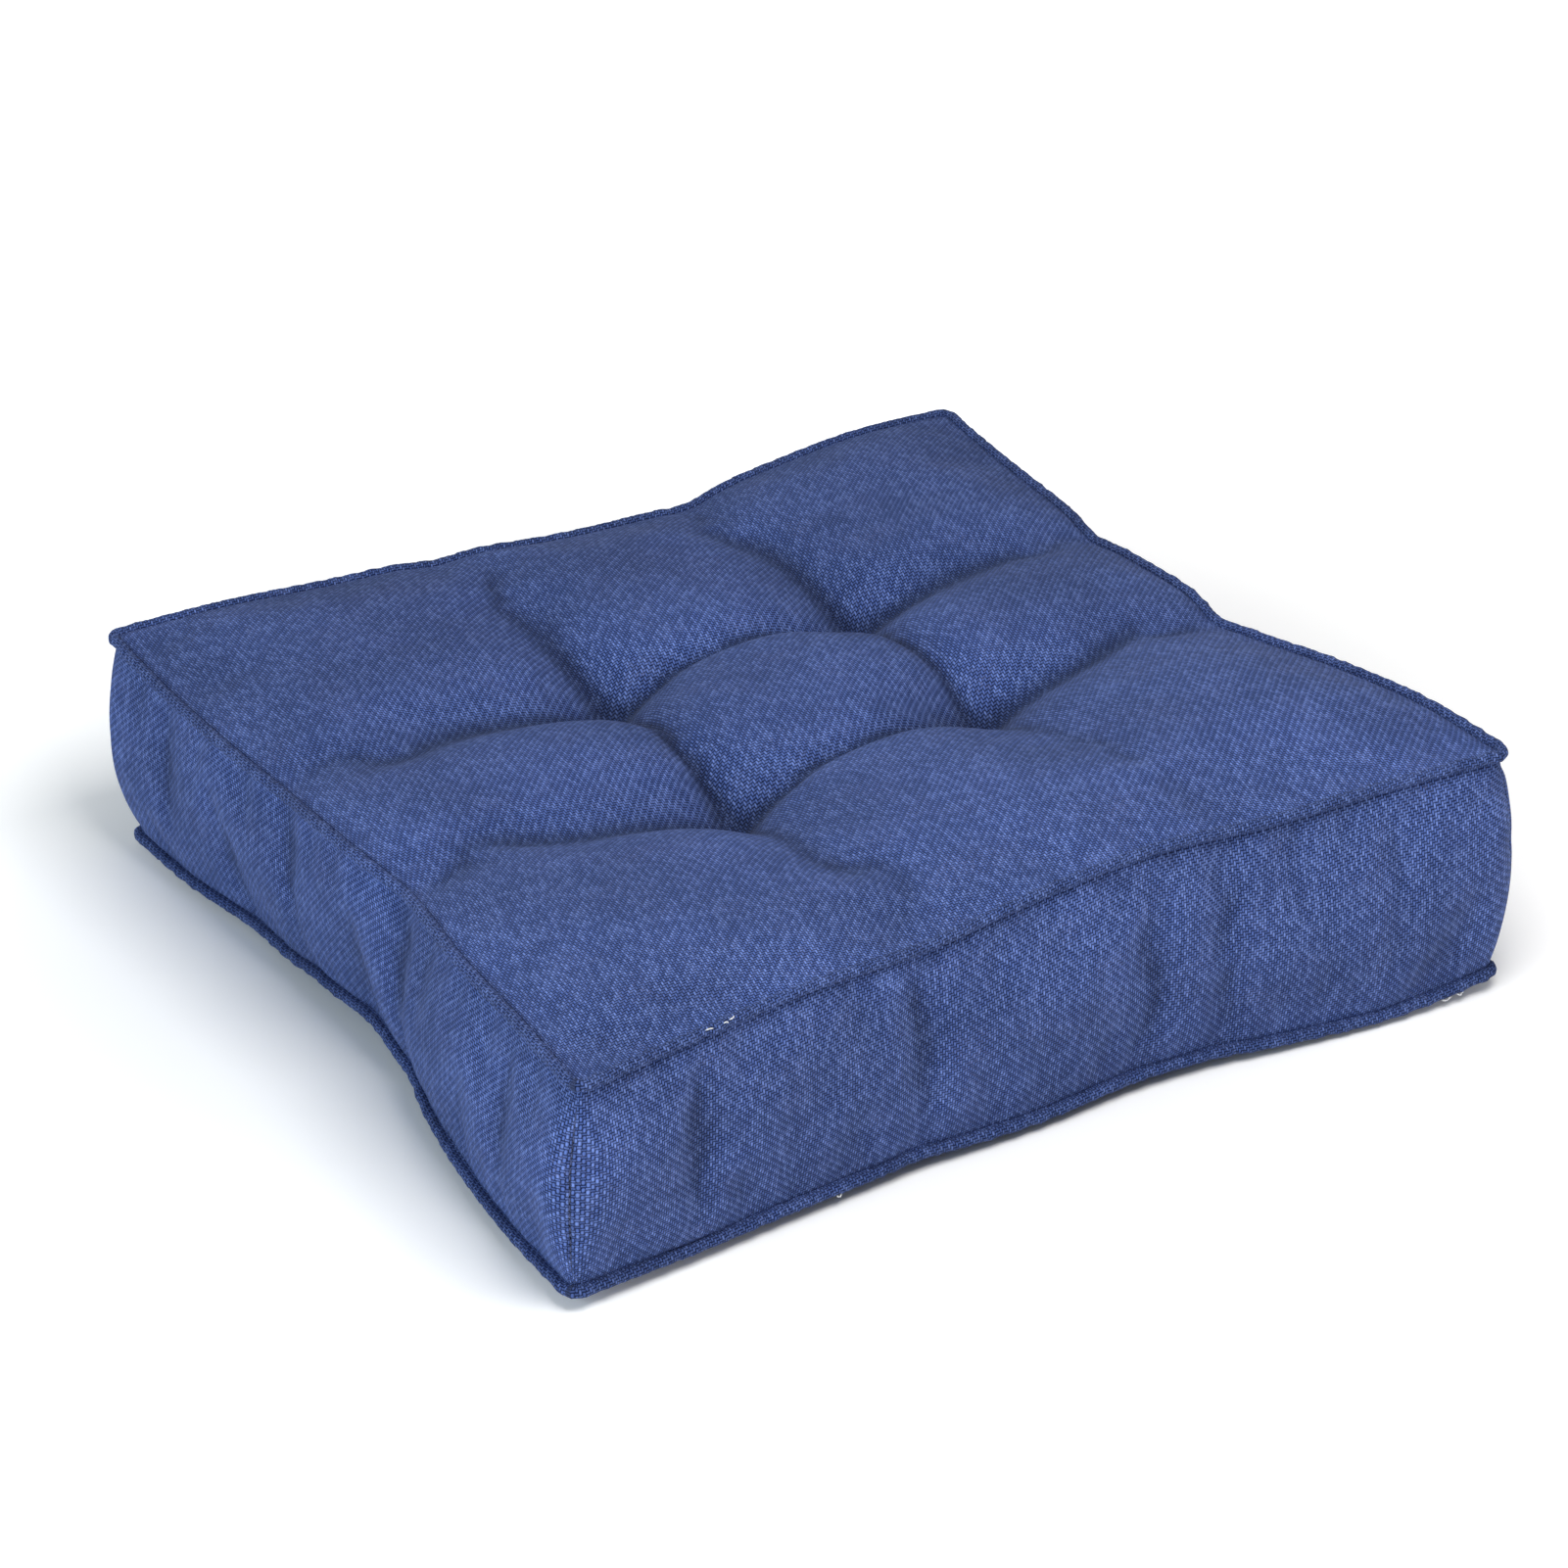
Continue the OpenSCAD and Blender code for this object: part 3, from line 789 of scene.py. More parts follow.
# Cloth that was pushed below the rest lies flat on it, where it was before it was stuffed
rest_z = 0.3 * MM
pressed = (stuffed[:, 2] < rest_z) & ~on_seam
stuffed[pressed, :2] = net_points[pressed, :2]
stuffed[:, 2] = np.maximum(stuffed[:, 2], rest_z)
print("stuffed from", stuffed.min(0).round(4), "to", stuffed.max(0).round(4))

# %% [markdown]
# ## Materials
#
# A picture of cloth could be laid over the cover, but it blurs close by. Cloth is made of yarns, so
# here its colour and its relief come from one pattern that is worked out for every yarn. In a
# two-and-one twill each upright yarn passes over two cross yarns and under one, and every yarn does
# so one step later than its neighbour. That gives slanting ribs. With u and v counted in yarns and
# i = floor(u), the place along a float is w = fract((v + i) / 3), and the float takes w < 2/3.


# %% Node helpers
class Graph:
    """Makes nodes in one tree; an input is a number, a colour or another node's output."""

    def __init__(self, tree):
        self.tree = tree
        tree.nodes.clear()

    def add(self, kind, inputs=(), out=0, **settings):
        """A node of a kind with its settings and inputs, and the output asked for."""
        made = self.tree.nodes.new("ShaderNode" + kind)
        for key, value in settings.items():
            setattr(made, key, value)
        for key, value in dict(inputs).items():
            if isinstance(value, bpy.types.NodeSocket):
                self.tree.links.new(value, made.inputs[key])
            else:
                made.inputs[key].default_value = value
        return made.outputs[out]

    def math(self, operation, *values, clamp=False):
        """One step of arithmetic."""
        return self.add("Math", dict(enumerate(values)), operation=operation, use_clamp=clamp)

    def span(self, value, low, high, to_low=0.0, to_high=1.0):
        """value from low..high carried over to to_low..to_high, and held there outside."""
        inputs = {0: value, 1: low, 2: high, 3: to_low, 4: to_high}
        return self.add("MapRange", inputs, interpolation_type="SMOOTHSTEP")

    def mix(self, share, first, second, blend="MIX"):
        """Two colours mixed."""
        inputs = {0: share, 6: first, 7: second}
        return self.add("Mix", inputs, out=2, data_type="RGBA", blend_type=blend)


def new_group(name, inputs, outputs):
    """A node group with named inputs {name: (kind, value)} and outputs {name: kind}."""
    tree = bpy.data.node_groups.new(name, "ShaderNodeTree")
    for key, (kind, value) in inputs.items():
        socket = tree.interface.new_socket(key, in_out="INPUT", socket_type="NodeSocket" + kind)
        if value is not None:
            socket.default_value = value
    for key, kind in outputs.items():
        tree.interface.new_socket(key, in_out="OUTPUT", socket_type="NodeSocket" + kind)
    graph = Graph(tree)
    source = tree.nodes.new("NodeGroupInput").outputs
    target = tree.nodes.new("NodeGroupOutput").inputs
    return graph, source, target


def use_group(graph, tree, inputs):
    """A group put into another tree: its outputs, by name."""
    made = graph.tree.nodes.new("ShaderNodeGroup")
    made.node_tree = tree
    for key, value in inputs.items():
        if isinstance(value, bpy.types.NodeSocket):
            graph.tree.links.new(value, made.inputs[key])
        else:
            made.inputs[key].default_value = value
    return made.outputs


# %% Twill
def make_twill():
    """The twill as a group: its height, a value for each float, and a slow unevenness of the yarn."""
    graph, source, target = new_group(
        "Twill",
        {"Cloth": ("Vector", None), "Yarn Pitch": ("Float", 0.0012), "Slant": ("Float", 1.0)},
        {"Height": "Float", "Float Value": "Float", "Slub": "Float"},
    )
    wander = graph.add("TexNoise", {"Vector": source["Cloth"], "Scale": 90.0, "Detail": 2.0}, out=1)
    wander = graph.add("VectorMath", {0: wander, 1: (0.5, 0.5, 0.5)}, operation="SUBTRACT")
    wander = graph.add("VectorMath", {0: wander, 3: 0.0008}, operation="SCALE")
    cloth = graph.add("VectorMath", {0: source["Cloth"], 1: wander}, operation="ADD")
    yarns = graph.add("VectorMath", {0: cloth, 1: source["Yarn Pitch"]}, operation="DIVIDE")
    parts = graph.tree.nodes.new("ShaderNodeSeparateXYZ")
    graph.tree.links.new(yarns, parts.inputs[0])
    u = parts.outputs[0]
    v = graph.math("MULTIPLY", parts.outputs[1], source["Slant"])
    i = graph.math("FLOOR", u)
    turn = graph.math("DIVIDE", graph.math("ADD", v, i), 3.0)
    w = graph.math("FRACT", turn)
    over = graph.math("ABSOLUTE", graph.math("MULTIPLY_ADD", w, 3.0, -1.0))
    lump = graph.math("SUBTRACT", 1.0, graph.math("POWER", over, 3.0), clamp=True)
    side = graph.math("ABSOLUTE", graph.math("MULTIPLY_ADD", graph.math("FRACT", u), 2.0, -1.0))
    round_u = graph.math("SUBTRACT", 1.0, graph.math("POWER", side, 1.5), clamp=True)
    side = graph.math("ABSOLUTE", graph.math("MULTIPLY_ADD", graph.math("FRACT", v), 2.0, -1.0))
    round_v = graph.math("SUBTRACT", 1.0, graph.math("POWER", side, 2.0), clamp=True)
    warp = graph.math("MULTIPLY", lump, round_u)
    weft = graph.math("MULTIPLY", round_v, 0.55)
    weft = graph.math("MULTIPLY", weft, graph.math("SUBTRACT", 1.0, lump))
    stretched = graph.add("VectorMath", {0: cloth, 1: (900.0, 70.0, 1.0)}, operation="MULTIPLY")
    slub = graph.add("TexNoise", {"Vector": stretched, "Scale": 1.0, "Detail": 2.0})
    place = graph.add("CombineXYZ", {0: i, 1: graph.math("FLOOR", turn)})
    chance = graph.add("TexWhiteNoise", {0: place}, noise_dimensions="2D")
    graph.tree.links.new(graph.math("MAXIMUM", warp, weft), target["Height"])
    graph.tree.links.new(chance, target["Float Value"])
    graph.tree.links.new(slub, target["Slub"])
    return graph.tree


twill = make_twill()

# %% [markdown]
# The cloth has been handled: its colour is not even. Slow clouds make some parts paler. Painted
# shade keeps the hollows dark, and a painted sheen, partly loose fibre, greys the raised lobes. A
# second group works that out from the hollows, so that every cloth on the cushion gets it alike.


# %% Wear and painted shade
def make_wear_and_shade():
    """Uneven colour: painted shade in hollows; raised cloth paler, greyed by fibre and painted sheen;
    lint.
    """
    graph, source, target = new_group(
        "Cloth Wear And Shade",
        {
            "Color": ("Color", None),
            "Cloth": ("Vector", None),
            "Hollow": ("Float", 0.0),
            "Sheen Bloom Color": ("Color", (0.16, 0.18, 0.36, 1)),
        },
        {"Color": "Color", "Fuzz": "Float"},
    )
    clouds = graph.add("TexNoise", {"Vector": source["Cloth"], "Scale": 14.0, "Detail": 3.0})
    tone = graph.span(clouds, 0.3, 0.7, 0.86, 1.12)
    # Painted shade: the colour falls to 0.4 of itself where the cloth is most hollow
    tone = graph.math("MULTIPLY", tone, graph.span(source["Hollow"], 0.06, 0.9, 1.0, 0.4))
    tone = graph.math("MULTIPLY", tone, graph.span(source["Hollow"], -0.7, 0.1, 1.12, 1.0))
    shade = graph.add("CombineColor", {0: tone, 1: tone, 2: tone})
    color = graph.mix(1.0, source["Color"], shade, "MULTIPLY")
    fuzz = graph.add("TexNoise", {"Vector": source["Cloth"], "Scale": 700.0, "Detail": 3.0})
    patch = graph.add("TexNoise", {"Vector": source["Cloth"], "Scale": 45.0, "Detail": 4.0})
    # Painted sheen, partly loose fibre: fine and slow noise, held to raised cloth, greys the colour
    sheen_bloom = graph.math("MULTIPLY", graph.span(fuzz, 0.45, 0.8), graph.span(patch, 0.4, 0.75))
    sheen_bloom = graph.math("MULTIPLY", sheen_bloom, graph.span(source["Hollow"], -0.4, 0.5, 0.55, 0.0))
    color = graph.mix(sheen_bloom, color, source["Sheen Bloom Color"])
    dots = graph.tree.nodes.new("ShaderNodeTexVoronoi")
    dots.inputs["Scale"].default_value = 22.0
    graph.tree.links.new(source["Cloth"], dots.inputs["Vector"])
    rare = graph.add("SeparateColor", {0: dots.outputs["Color"]})
    lint = graph.math("LESS_THAN", dots.outputs["Distance"], 0.014)
    lint = graph.math("MULTIPLY", lint, graph.math("GREATER_THAN", rare, 0.9))
    color = graph.mix(graph.math("MULTIPLY", lint, 0.8), color, (0.6, 0.62, 0.68, 1))
    graph.tree.links.new(color, target["Color"])
    graph.tree.links.new(fuzz, target["Fuzz"])
    return graph.tree


wear_and_shade = make_wear_and_shade()


# %% Cloth material
# The gaps between yarns, the yarn itself, and the palest floats
cloth_colours = ((0.004, 0.008, 0.036), (0.078, 0.131, 0.378), (0.215, 0.315, 0.73))
yarn_pitch = 1.18 * MM


def surface(name):
    """A new material: its graph and its Principled shader."""
    material = bpy.data.materials.new(name)
    material.use_nodes = True
    graph = Graph(material.node_tree)
    shader = material.node_tree.nodes.new("ShaderNodeBsdfPrincipled")
    output = material.node_tree.nodes.new("ShaderNodeOutputMaterial")
    material.node_tree.links.new(shader.outputs[0], output.inputs["Surface"])
    return material, graph, shader


def make_cloth(name, slant, tone=1.0):
    """Blue linen-look twill with slanting ribs; slant is 1 or -1, tone scales its colours."""
    material, graph, shader = surface(name)
    cloth = graph.add("UVMap", uv_map="cloth")
    # How hollow the cloth is, which sets its painted shade and painted sheen
    hollow = graph.add("Attribute", out=2, attribute_name="hollow")
    weave = use_group(graph, twill, {"Cloth": cloth, "Yarn Pitch": yarn_pitch, "Slant": slant})
    gap, yarn, tip = (tuple(tone * c for c in colour) + (1,) for colour in cloth_colours)
    color = graph.mix(graph.span(weave["Height"], 0.12, 0.8), gap, yarn)
    heather = graph.math("MULTIPLY", graph.span(weave["Float Value"], 0.35, 1.0), weave["Height"])
    color = graph.mix(graph.math("MULTIPLY", heather, 0.55), color, tip)
    uneven = graph.span(weave["Slub"], 0.3, 0.7, 0.91, 1.09)
    shade = graph.add("CombineColor", {0: uneven, 1: uneven, 2: uneven})
    color = graph.mix(1.0, color, shade, "MULTIPLY")
    # Painted shade in the hollows and a painted sheen on raised cloth join the colour here
    worn_and_shaded = use_group(graph, wear_and_shade, {"Color": color, "Cloth": cloth, "Hollow": hollow})
    graph.tree.links.new(worn_and_shaded["Color"], shader.inputs["Base Color"])
    height = graph.math("MULTIPLY_ADD", weave["Slub"], 0.25, weave["Height"])
    height = graph.math("MULTIPLY_ADD", worn_and_shaded["Fuzz"], 0.35, height)
    bump = graph.add("Bump", {"Height": height, "Strength": 1.0, "Distance": 0.4 * MM})
    graph.tree.links.new(bump, shader.inputs["Normal"])
    shader.inputs["Roughness"].default_value = 0.85
    shader.inputs["Specular IOR Level"].default_value = 0.12
    shader.inputs["Sheen Weight"].default_value = 0.1
    shader.inputs["Sheen Roughness"].default_value = 0.45
    shader.inputs["Sheen Tint"].default_value = (0.55, 0.65, 1.0, 1)
    return material


cover_cloth = {
    "up": make_cloth("cover_twill_up", slant=-1.0),
    "down": make_cloth("cover_twill_down", slant=1.0),
}
piping_cloth = make_cloth("piping_twill", slant=1.0, tone=0.85)


# %% Fibre, cord and thread materials
def make_strands(name, colour, pale_colour, ply, roughness):
    """A twisted cord or thread: slanting strands along its uv, which repeat once in ply metres."""
    material, graph, shader = surface(name)
    parts = graph.tree.nodes.new("ShaderNodeSeparateXYZ")
    graph.tree.links.new(graph.add("UVMap", uv_map="cloth"), parts.inputs[0])
    along = graph.math("DIVIDE", parts.outputs[0], ply)
    phase = graph.math("FRACT", graph.math("MULTIPLY_ADD", parts.outputs[1], 2.0, along))
    strand = graph.math("ABSOLUTE", graph.math("MULTIPLY_ADD", phase, 2.0, -1.0))
    strand = graph.math("SUBTRACT", 1.0, graph.math("POWER", strand, 2.0))
    place = graph.add("TexCoord", out=3)
    fibres = graph.add("TexNoise", {"Vector": place, "Scale": 2500.0, "Detail": 3.0})
    pale = graph.add("Attribute", out=2, attribute_name="pale")
    base = graph.mix(pale, colour + (1,), pale_colour + (1,))
    light = graph.math("MULTIPLY_ADD", strand, 0.45, graph.span(fibres, 0.3, 0.7, 0.5, 0.75))
    shade = graph.add("CombineColor", {0: light, 1: light, 2: light})
    graph.tree.links.new(graph.mix(1.0, base, shade, "MULTIPLY"), shader.inputs["Base Color"])
    height = graph.math("MULTIPLY_ADD", fibres, 0.4, strand)
    bump = graph.add("Bump", {"Height": height, "Strength": 0.7, "Distance": 0.15 * MM})
    graph.tree.links.new(bump, shader.inputs["Normal"])
    shader.inputs["Roughness"].default_value = roughness
    shader.inputs["Sheen Weight"].default_value = 0.2
    return material


def make_fibre():
    """White polyester wadding: soft clumps with fine strands across them."""
    material, graph, shader = surface("polyester_fibre")
    place = graph.add("TexCoord", out=3)
    clumps = graph.add("TexNoise", {"Vector": place, "Scale": 60.0, "Detail": 4.0})
    curl = graph.add("TexNoise", {"Vector": place, "Scale": 700.0, "Detail": 5.0, "Distortion": 2.5})
    color = graph.mix(graph.span(clumps, 0.3, 0.7), (0.72, 0.72, 0.7, 1), (0.88, 0.88, 0.87, 1))
    graph.tree.links.new(color, shader.inputs["Base Color"])
    height = graph.math("MULTIPLY_ADD", clumps, 2.0, curl)
    bump = graph.add("Bump", {"Height": height, "Strength": 0.8, "Distance": 1.5 * MM})
    graph.tree.links.new(bump, shader.inputs["Normal"])
    shader.inputs["Roughness"].default_value = 0.95
    shader.inputs["Sheen Weight"].default_value = 0.6
    return material


fibre_material = make_fibre()
raw_cotton = (0.72, 0.69, 0.6)
cord_material = make_strands("cotton_cord", raw_cotton, raw_cotton, ply=2.2 * MM, roughness=0.9)
twine_material = make_strands(
    "navy_twine", (0.03, 0.045, 0.13), (0.7, 0.7, 0.7), ply=2.5 * MM, roughness=0.7
)
thread_material = make_strands(
    "polyester_thread", (0.04, 0.06, 0.18), (0.8, 0.8, 0.82), ply=0.8 * MM, roughness=0.6
)
print("materials", sorted(m.name for m in bpy.data.materials))

# %% [markdown]
# ## Shape of the cloth
#
# The net is cut into its six panels again. Two things are worked out for every point first: its
# normal, which says where the inside is, and how hollow the cloth is there. A point is hollow when
# it lies below the average of the cloth round it. Creases and pits are hollow, lobes and folds are
# not, and the colour depends on it: painted shade darkens the hollows, and what stands out is
# paler and greyed by a painted sheen.


# %% Normals and hollows
def net_normals(points, quads):
    """Unit normals: the sum of the areas of the quads round each point, as vectors."""
    a, b, c, d = (points[quads[:, k]] for k in range(4))
    area = np.cross(c - a, d - b)
    total = np.zeros_like(points)
    for k in range(4):
        np.add.at(total, quads[:, k], area)
    return total / np.linalg.norm(total, axis=1)[:, None]


def lies_below(turns):
    """How far each point lies below the average of the cloth round it; more turns look further."""
    return ((relaxed(stuffed, net_quads, turns) - stuffed) * normals).sum(1)


normals = net_normals(stuffed, net_quads)
crease_depth = 1.5 * MM
valley_depth = 5 * MM
# How hollow each point is: the cloth's painted shade and painted sheen come from it
hollow = np.tanh(lies_below(4) / crease_depth) * 0.45 + np.tanh(lies_below(24) / valley_depth) * 0.55
hollow[on_seam] = 0
print("hollow from", round(hollow.min(), 2), "to", round(hollow.max(), 2))

# %% Panels
cloth_t = 1.2 * MM
PANEL_NAMES = {
    "top": ("top_cloth", "top_panel"),
    "bottom": ("underside_cloth", "bottom_panel"),
    "front": ("front_cloth", "side_panel_front"),
    "right": ("right_cloth", "side_panel_right"),
    "back": ("back_cloth", "side_panel_back"),
    "left": ("left_cloth", "side_panel_left"),
}


def add_levels(piece):
    """One subdivision that keeps the corners of an open edge sharp."""
    finer = piece.modifiers.new("finer", "SUBSURF")
    finer.levels = 1
    finer.render_levels = 1
    finer.boundary_smooth = "PRESERVE_CORNERS"


def add_values(piece, name, values):
    """A number for each point of a mesh, which a material can read."""
    layer = piece.data.attributes.new(name, "FLOAT", "POINT")
    layer.data.foreach_set("value", np.asarray(values, np.float32))


def add_panel(panel, material, start):
    """One panel of the cover, with the flat cloth that it was cut from as its uv, in metres."""
    numbers = net_part[panel]
    rows, columns = numbers.shape
    quads = grid_quads(rows, columns)
    if panel == "bottom":
        quads = quads[:, ::-1]
    width = 2 * half_w
    height = width if panel in ("top", "bottom") else top_z - bottom_z
    i, j = np.meshgrid(np.linspace(0, width, rows), np.linspace(0, height, columns), indexing="ij")
    uv = np.stack([i.ravel(), j.ravel()], -1) + start
    name, node = PANEL_NAMES[panel]
    piece = new_mesh(name, stuffed[numbers.ravel()], quads, material, uv)
    add_values(piece, "hollow", hollow[numbers.ravel()])
    wall = piece.modifiers.new("cloth", "SOLIDIFY")
    wall.thickness = cloth_t
    wall.offset = -1
    add_levels(piece)
    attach(piece, "root")
    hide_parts(node)
    return piece


# Where on the bolt of cloth each panel is cut (m), so that no two have the same yarns, and which
# way its ribs climb
cuts = {
    "top": ((0, 0), "up"),
    "bottom": ((0.9, 0), "up"),
    "front": ((0, 0.7), "down"),
    "right": ((0.6, 0.7), "up"),
    "back": ((1.2, 0.7), "down"),
    "left": ((1.8, 0.7), "up"),
}
for panel in PANELS:
    start, direction = cuts[panel]
    piece = add_panel(panel, cover_cloth[direction], start)
    print(piece.name, len(piece.data.polygons), "quads")

# %% [markdown]
# The filling can't be seen, but it is what makes the cushion soft, so it is a piece too: one closed
# body just inside the cloth. It stays further in at the seams, where the seam allowances lie.

# %% Filling
filling_gap = 0.6 * MM
allowance_gap = 8 * MM

# How near each point is to a seam: 1 on it, and less with each step away from it
near = on_seam[:, None].astype(float)
for _ in range(3):
    near = np.maximum(near * 0.96, relaxed(near, net_quads, 1))
depth = cloth_t + filling_gap + allowance_gap * near

# Outwards is along the normal, but at a seam it is half away from the middle and half up or down
level = np.where(stuffed[:, 2:] > (top_z + bottom_z) / 2, 1.0, -1.0)
reach = np.maximum(np.linalg.norm(stuffed[:, :2], axis=1, keepdims=True), 1 * MM)
seam_way = np.concatenate([stuffed[:, :2] / reach, level], 1) / math.sqrt(2)
way = normals * (1 - near) + seam_way * near
way /= np.linalg.norm(way, axis=1)[:, None]
filling = new_mesh("fibre_batting", stuffed - way * depth, net_quads, fibre_material)
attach(filling, "root")
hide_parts("fibre_fill")
print("filling", len(net_quads), "quads")

# %% [markdown]
# ## Piping
#
# The piping is a strip of the same cloth folded round a cord. Its outline is a circle that opens
# into a flat tail, the seam allowance, which is sewn between the panels. The strip is cut on the
# straight and pulled round a curve, so it is gathered: small ridges run round it at a slant. The
# top piping leans up and the bottom one leans down, as the filling rolls them off the sides.


# %% Piping
rng = np.random.default_rng(7)


def finer_loop(loop, count):
    """A closed line with count evenly spaced points."""
    return resample(np.concatenate([loop, loop[:1]]), count + 1)[:-1]


def wave(length, count, step, strength):
    """count values round a closed line: a sum of ten sines of near wavelengths, seeded."""
    s = np.linspace(0, 2 * math.pi, count, endpoint=False)
    turns = np.round(length / step * rng.uniform(0.7, 1.4, 10))
    phases = rng.uniform(0, 2 * math.pi, 10)
    return strength * sum(np.sin(n * s + p) for n, p in zip(turns, phases)) / math.sqrt(10)


def ring_quads(rings, around):
    """Quads of a closed tube whose point (i, j) has the index i * around + j."""
    i, j = np.meshgrid(np.arange(rings), np.arange(around), indexing="ij")
    i_next, j_next = (i + 1) % rings, (j + 1) % around
    ring, ring_next = i * around, i_next * around
    quads = np.stack([ring + j, ring_next + j, ring_next + j_next, ring + j_next], -1)
    return quads.reshape(-1, 4)


def tube_uv(length, rings, round_values):
    """A uv pair for each point of a closed tube: metres along it, and the given value round it."""
    s = np.arange(rings) / rings * length
    return np.stack(np.meshgrid(s, round_values, indexing="ij"), -1).reshape(-1, 2)


def piping_frames(loop, slope):
    """For each point: a unit vector off the filling at the given slope, and one square to it."""
    out = outward_of(loop)
    up = np.array([0, 0, 1.0])
    away = out * math.cos(slope) + up * math.sin(slope)
    across = up * math.cos(slope) - out * math.sin(slope)
    return away, across


PIPING_RINGS = 1100
PIPING_AROUND = 20

# The flat tail behind the cord: how far back and how far to a side its corners lie (mm)
TAIL_CORNERS = ((3.5, 0.6), (7.5, 0.6), (7.5, -0.6), (3.5, -0.6))


def add_piping(name, node, line, slope):
    """The cover of a piping as a closed tube with a tail.

    A point at angle a of the circle is centre + r (away cos a + across sin a), and r swells with
    gathers that slant by one ring for every 60 degrees: r = piping_r (1 + g(ring + a / 60)).
    """
    loop = finer_loop(line, PIPING_RINGS)
    length = round_length(loop)
    loop[:, 2] += wave(length, PIPING_RINGS, 12 * MM, 0.16 * MM)
    loop += outward_of(loop) * wave(length, PIPING_RINGS, 14 * MM, 0.2 * MM)[:, None]
    away, across = piping_frames(loop, slope)
    turn = np.radians(np.linspace(-152, 152, PIPING_AROUND))
    gathers = wave(length, PIPING_RINGS, 5 * MM, 0.055)
    fine = wave(length, PIPING_RINGS, 2.6 * MM, 0.02)
    rows = np.arange(PIPING_RINGS)
    ring = []
    for angle in turn:
        slant = (rows + round(math.degrees(angle) / 60)) % PIPING_RINGS
        r = piping_r * (1 + gathers[slant] + fine[slant])[:, None]
        ring.append(loop + r * (away * math.cos(angle) + across * math.sin(angle)))
    for reach, side in TAIL_CORNERS:
        ring.append(loop - away * reach * MM + across * side * MM)
    points = np.stack(ring, 1)
    steps = np.linalg.norm(np.diff(points[0], axis=0), axis=1)
    uv = tube_uv(length, PIPING_RINGS, np.concatenate([[0], np.cumsum(steps)]))
    quads = ring_quads(PIPING_RINGS, points.shape[1])
    piece = new_mesh(name, points.reshape(-1, 3), quads, piping_cloth, uv)
    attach(piece, "root")
    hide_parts(node)
    return loop, away


CORD_AROUND = 12


def add_core(name, node, loop, twist_step):
    """The cord inside a piping: a tube of three strands that twist once in twist_step."""
    radius = size_of(node)[2] / 2
    length = round_length(loop)
    out = outward_of(loop)
    up = np.array([0, 0, 1.0])
    turns = round(length / twist_step)
    phase = 2 * math.pi * turns * np.arange(len(loop)) / len(loop)
    ring = []
    for angle in np.linspace(0, 2 * math.pi, CORD_AROUND, endpoint=False):
        r = radius * (0.88 + 0.12 * np.cos(3 * (angle - phase)))[:, None]
        ring.append(loop + r * (out * math.cos(angle) + up * math.sin(angle)))
    points = np.stack(ring, 1)
    uv = tube_uv(length, len(loop), np.arange(CORD_AROUND) / CORD_AROUND)
    quads = ring_quads(len(loop), CORD_AROUND)
    piece = new_mesh(name, points.reshape(-1, 3), quads, cord_material, uv)
    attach(piece, "root")
    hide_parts(node)


piping_slope = math.radians(40)
cord_twist = 9 * MM
top_loop, top_away = add_piping("top_piping", "top_piping_cover", top_line, piping_slope)
bottom_loop, bottom_away = add_piping(
    "bottom_piping", "bottom_piping_cover", bottom_line, -piping_slope
)
add_core("top_piping_core", "top_piping_cord", top_loop, cord_twist)
add_core("bottom_piping_core", "bottom_piping_cord", bottom_loop, cord_twist)
print("piping", PIPING_RINGS * (PIPING_AROUND + len(TAIL_CORNERS)), "quads each")

# %% [markdown]
# ## Threads and ties
#
# Every seam is sewn. Stitches could be part of the weave's pattern, but thread stands up from the
# cloth and catches the light, so each stitch is a short tube that dips into the cloth at both ends.
# One function makes many tubes at once from an array of lines.


# %% Tubes
def tubes(lines, radius, around=6, blunt=0.35):
    """Closed tubes along lines of shape (n, m, 3). Point j of ring k is p_k + r (e cos a + f sin a).

    radius is one number or an array (n, m); the first and last rings shrink to blunt times it.
    """
    lines = np.asarray(lines, float)
    n, m, _ = lines.shape
    run = np.gradient(lines, axis=1)
    run /= np.linalg.norm(run, axis=2)[..., None]
    guide = np.where(np.abs(run[..., 2:3]) > 0.8, (1.0, 0.0, 0.0), (0.0, 0.0, 1.0))
    e = np.cross(run, guide)
    e /= np.linalg.norm(e, axis=2)[..., None]
    f = np.cross(run, e)
    r = np.broadcast_to(radius, (n, m)).copy()
    r[:, 0] *= blunt
    r[:, -1] *= blunt
    angle = np.linspace(0, 2 * math.pi, around, endpoint=False)
    ring = np.cos(angle)[:, None] * e[:, :, None] + np.sin(angle)[:, None] * f[:, :, None]
    points = (lines[:, :, None] + r[:, :, None, None] * ring).reshape(-1, 3)

    i, j, k = np.meshgrid(np.arange(n), np.arange(m - 1), np.arange(around), indexing="ij")
    first = (i * m + j) * around
    next_k = (k + 1) % around
    quads = np.stack([first + k, first + next_k, first + around + next_k, first + around + k], -1)
    half = around // 2
    caps = []
    for start in (0, (m - 1) * around):
        base = np.arange(n) * m * around + start
        for q in range(half - 1):
            far = base + around - 1 - q
            cap = np.stack([base + q, base + q + 1, far - 1, far], -1)
            caps.append(cap if start else cap[:, ::-1])
    return points, np.concatenate([quads.reshape(-1, 4), *caps])


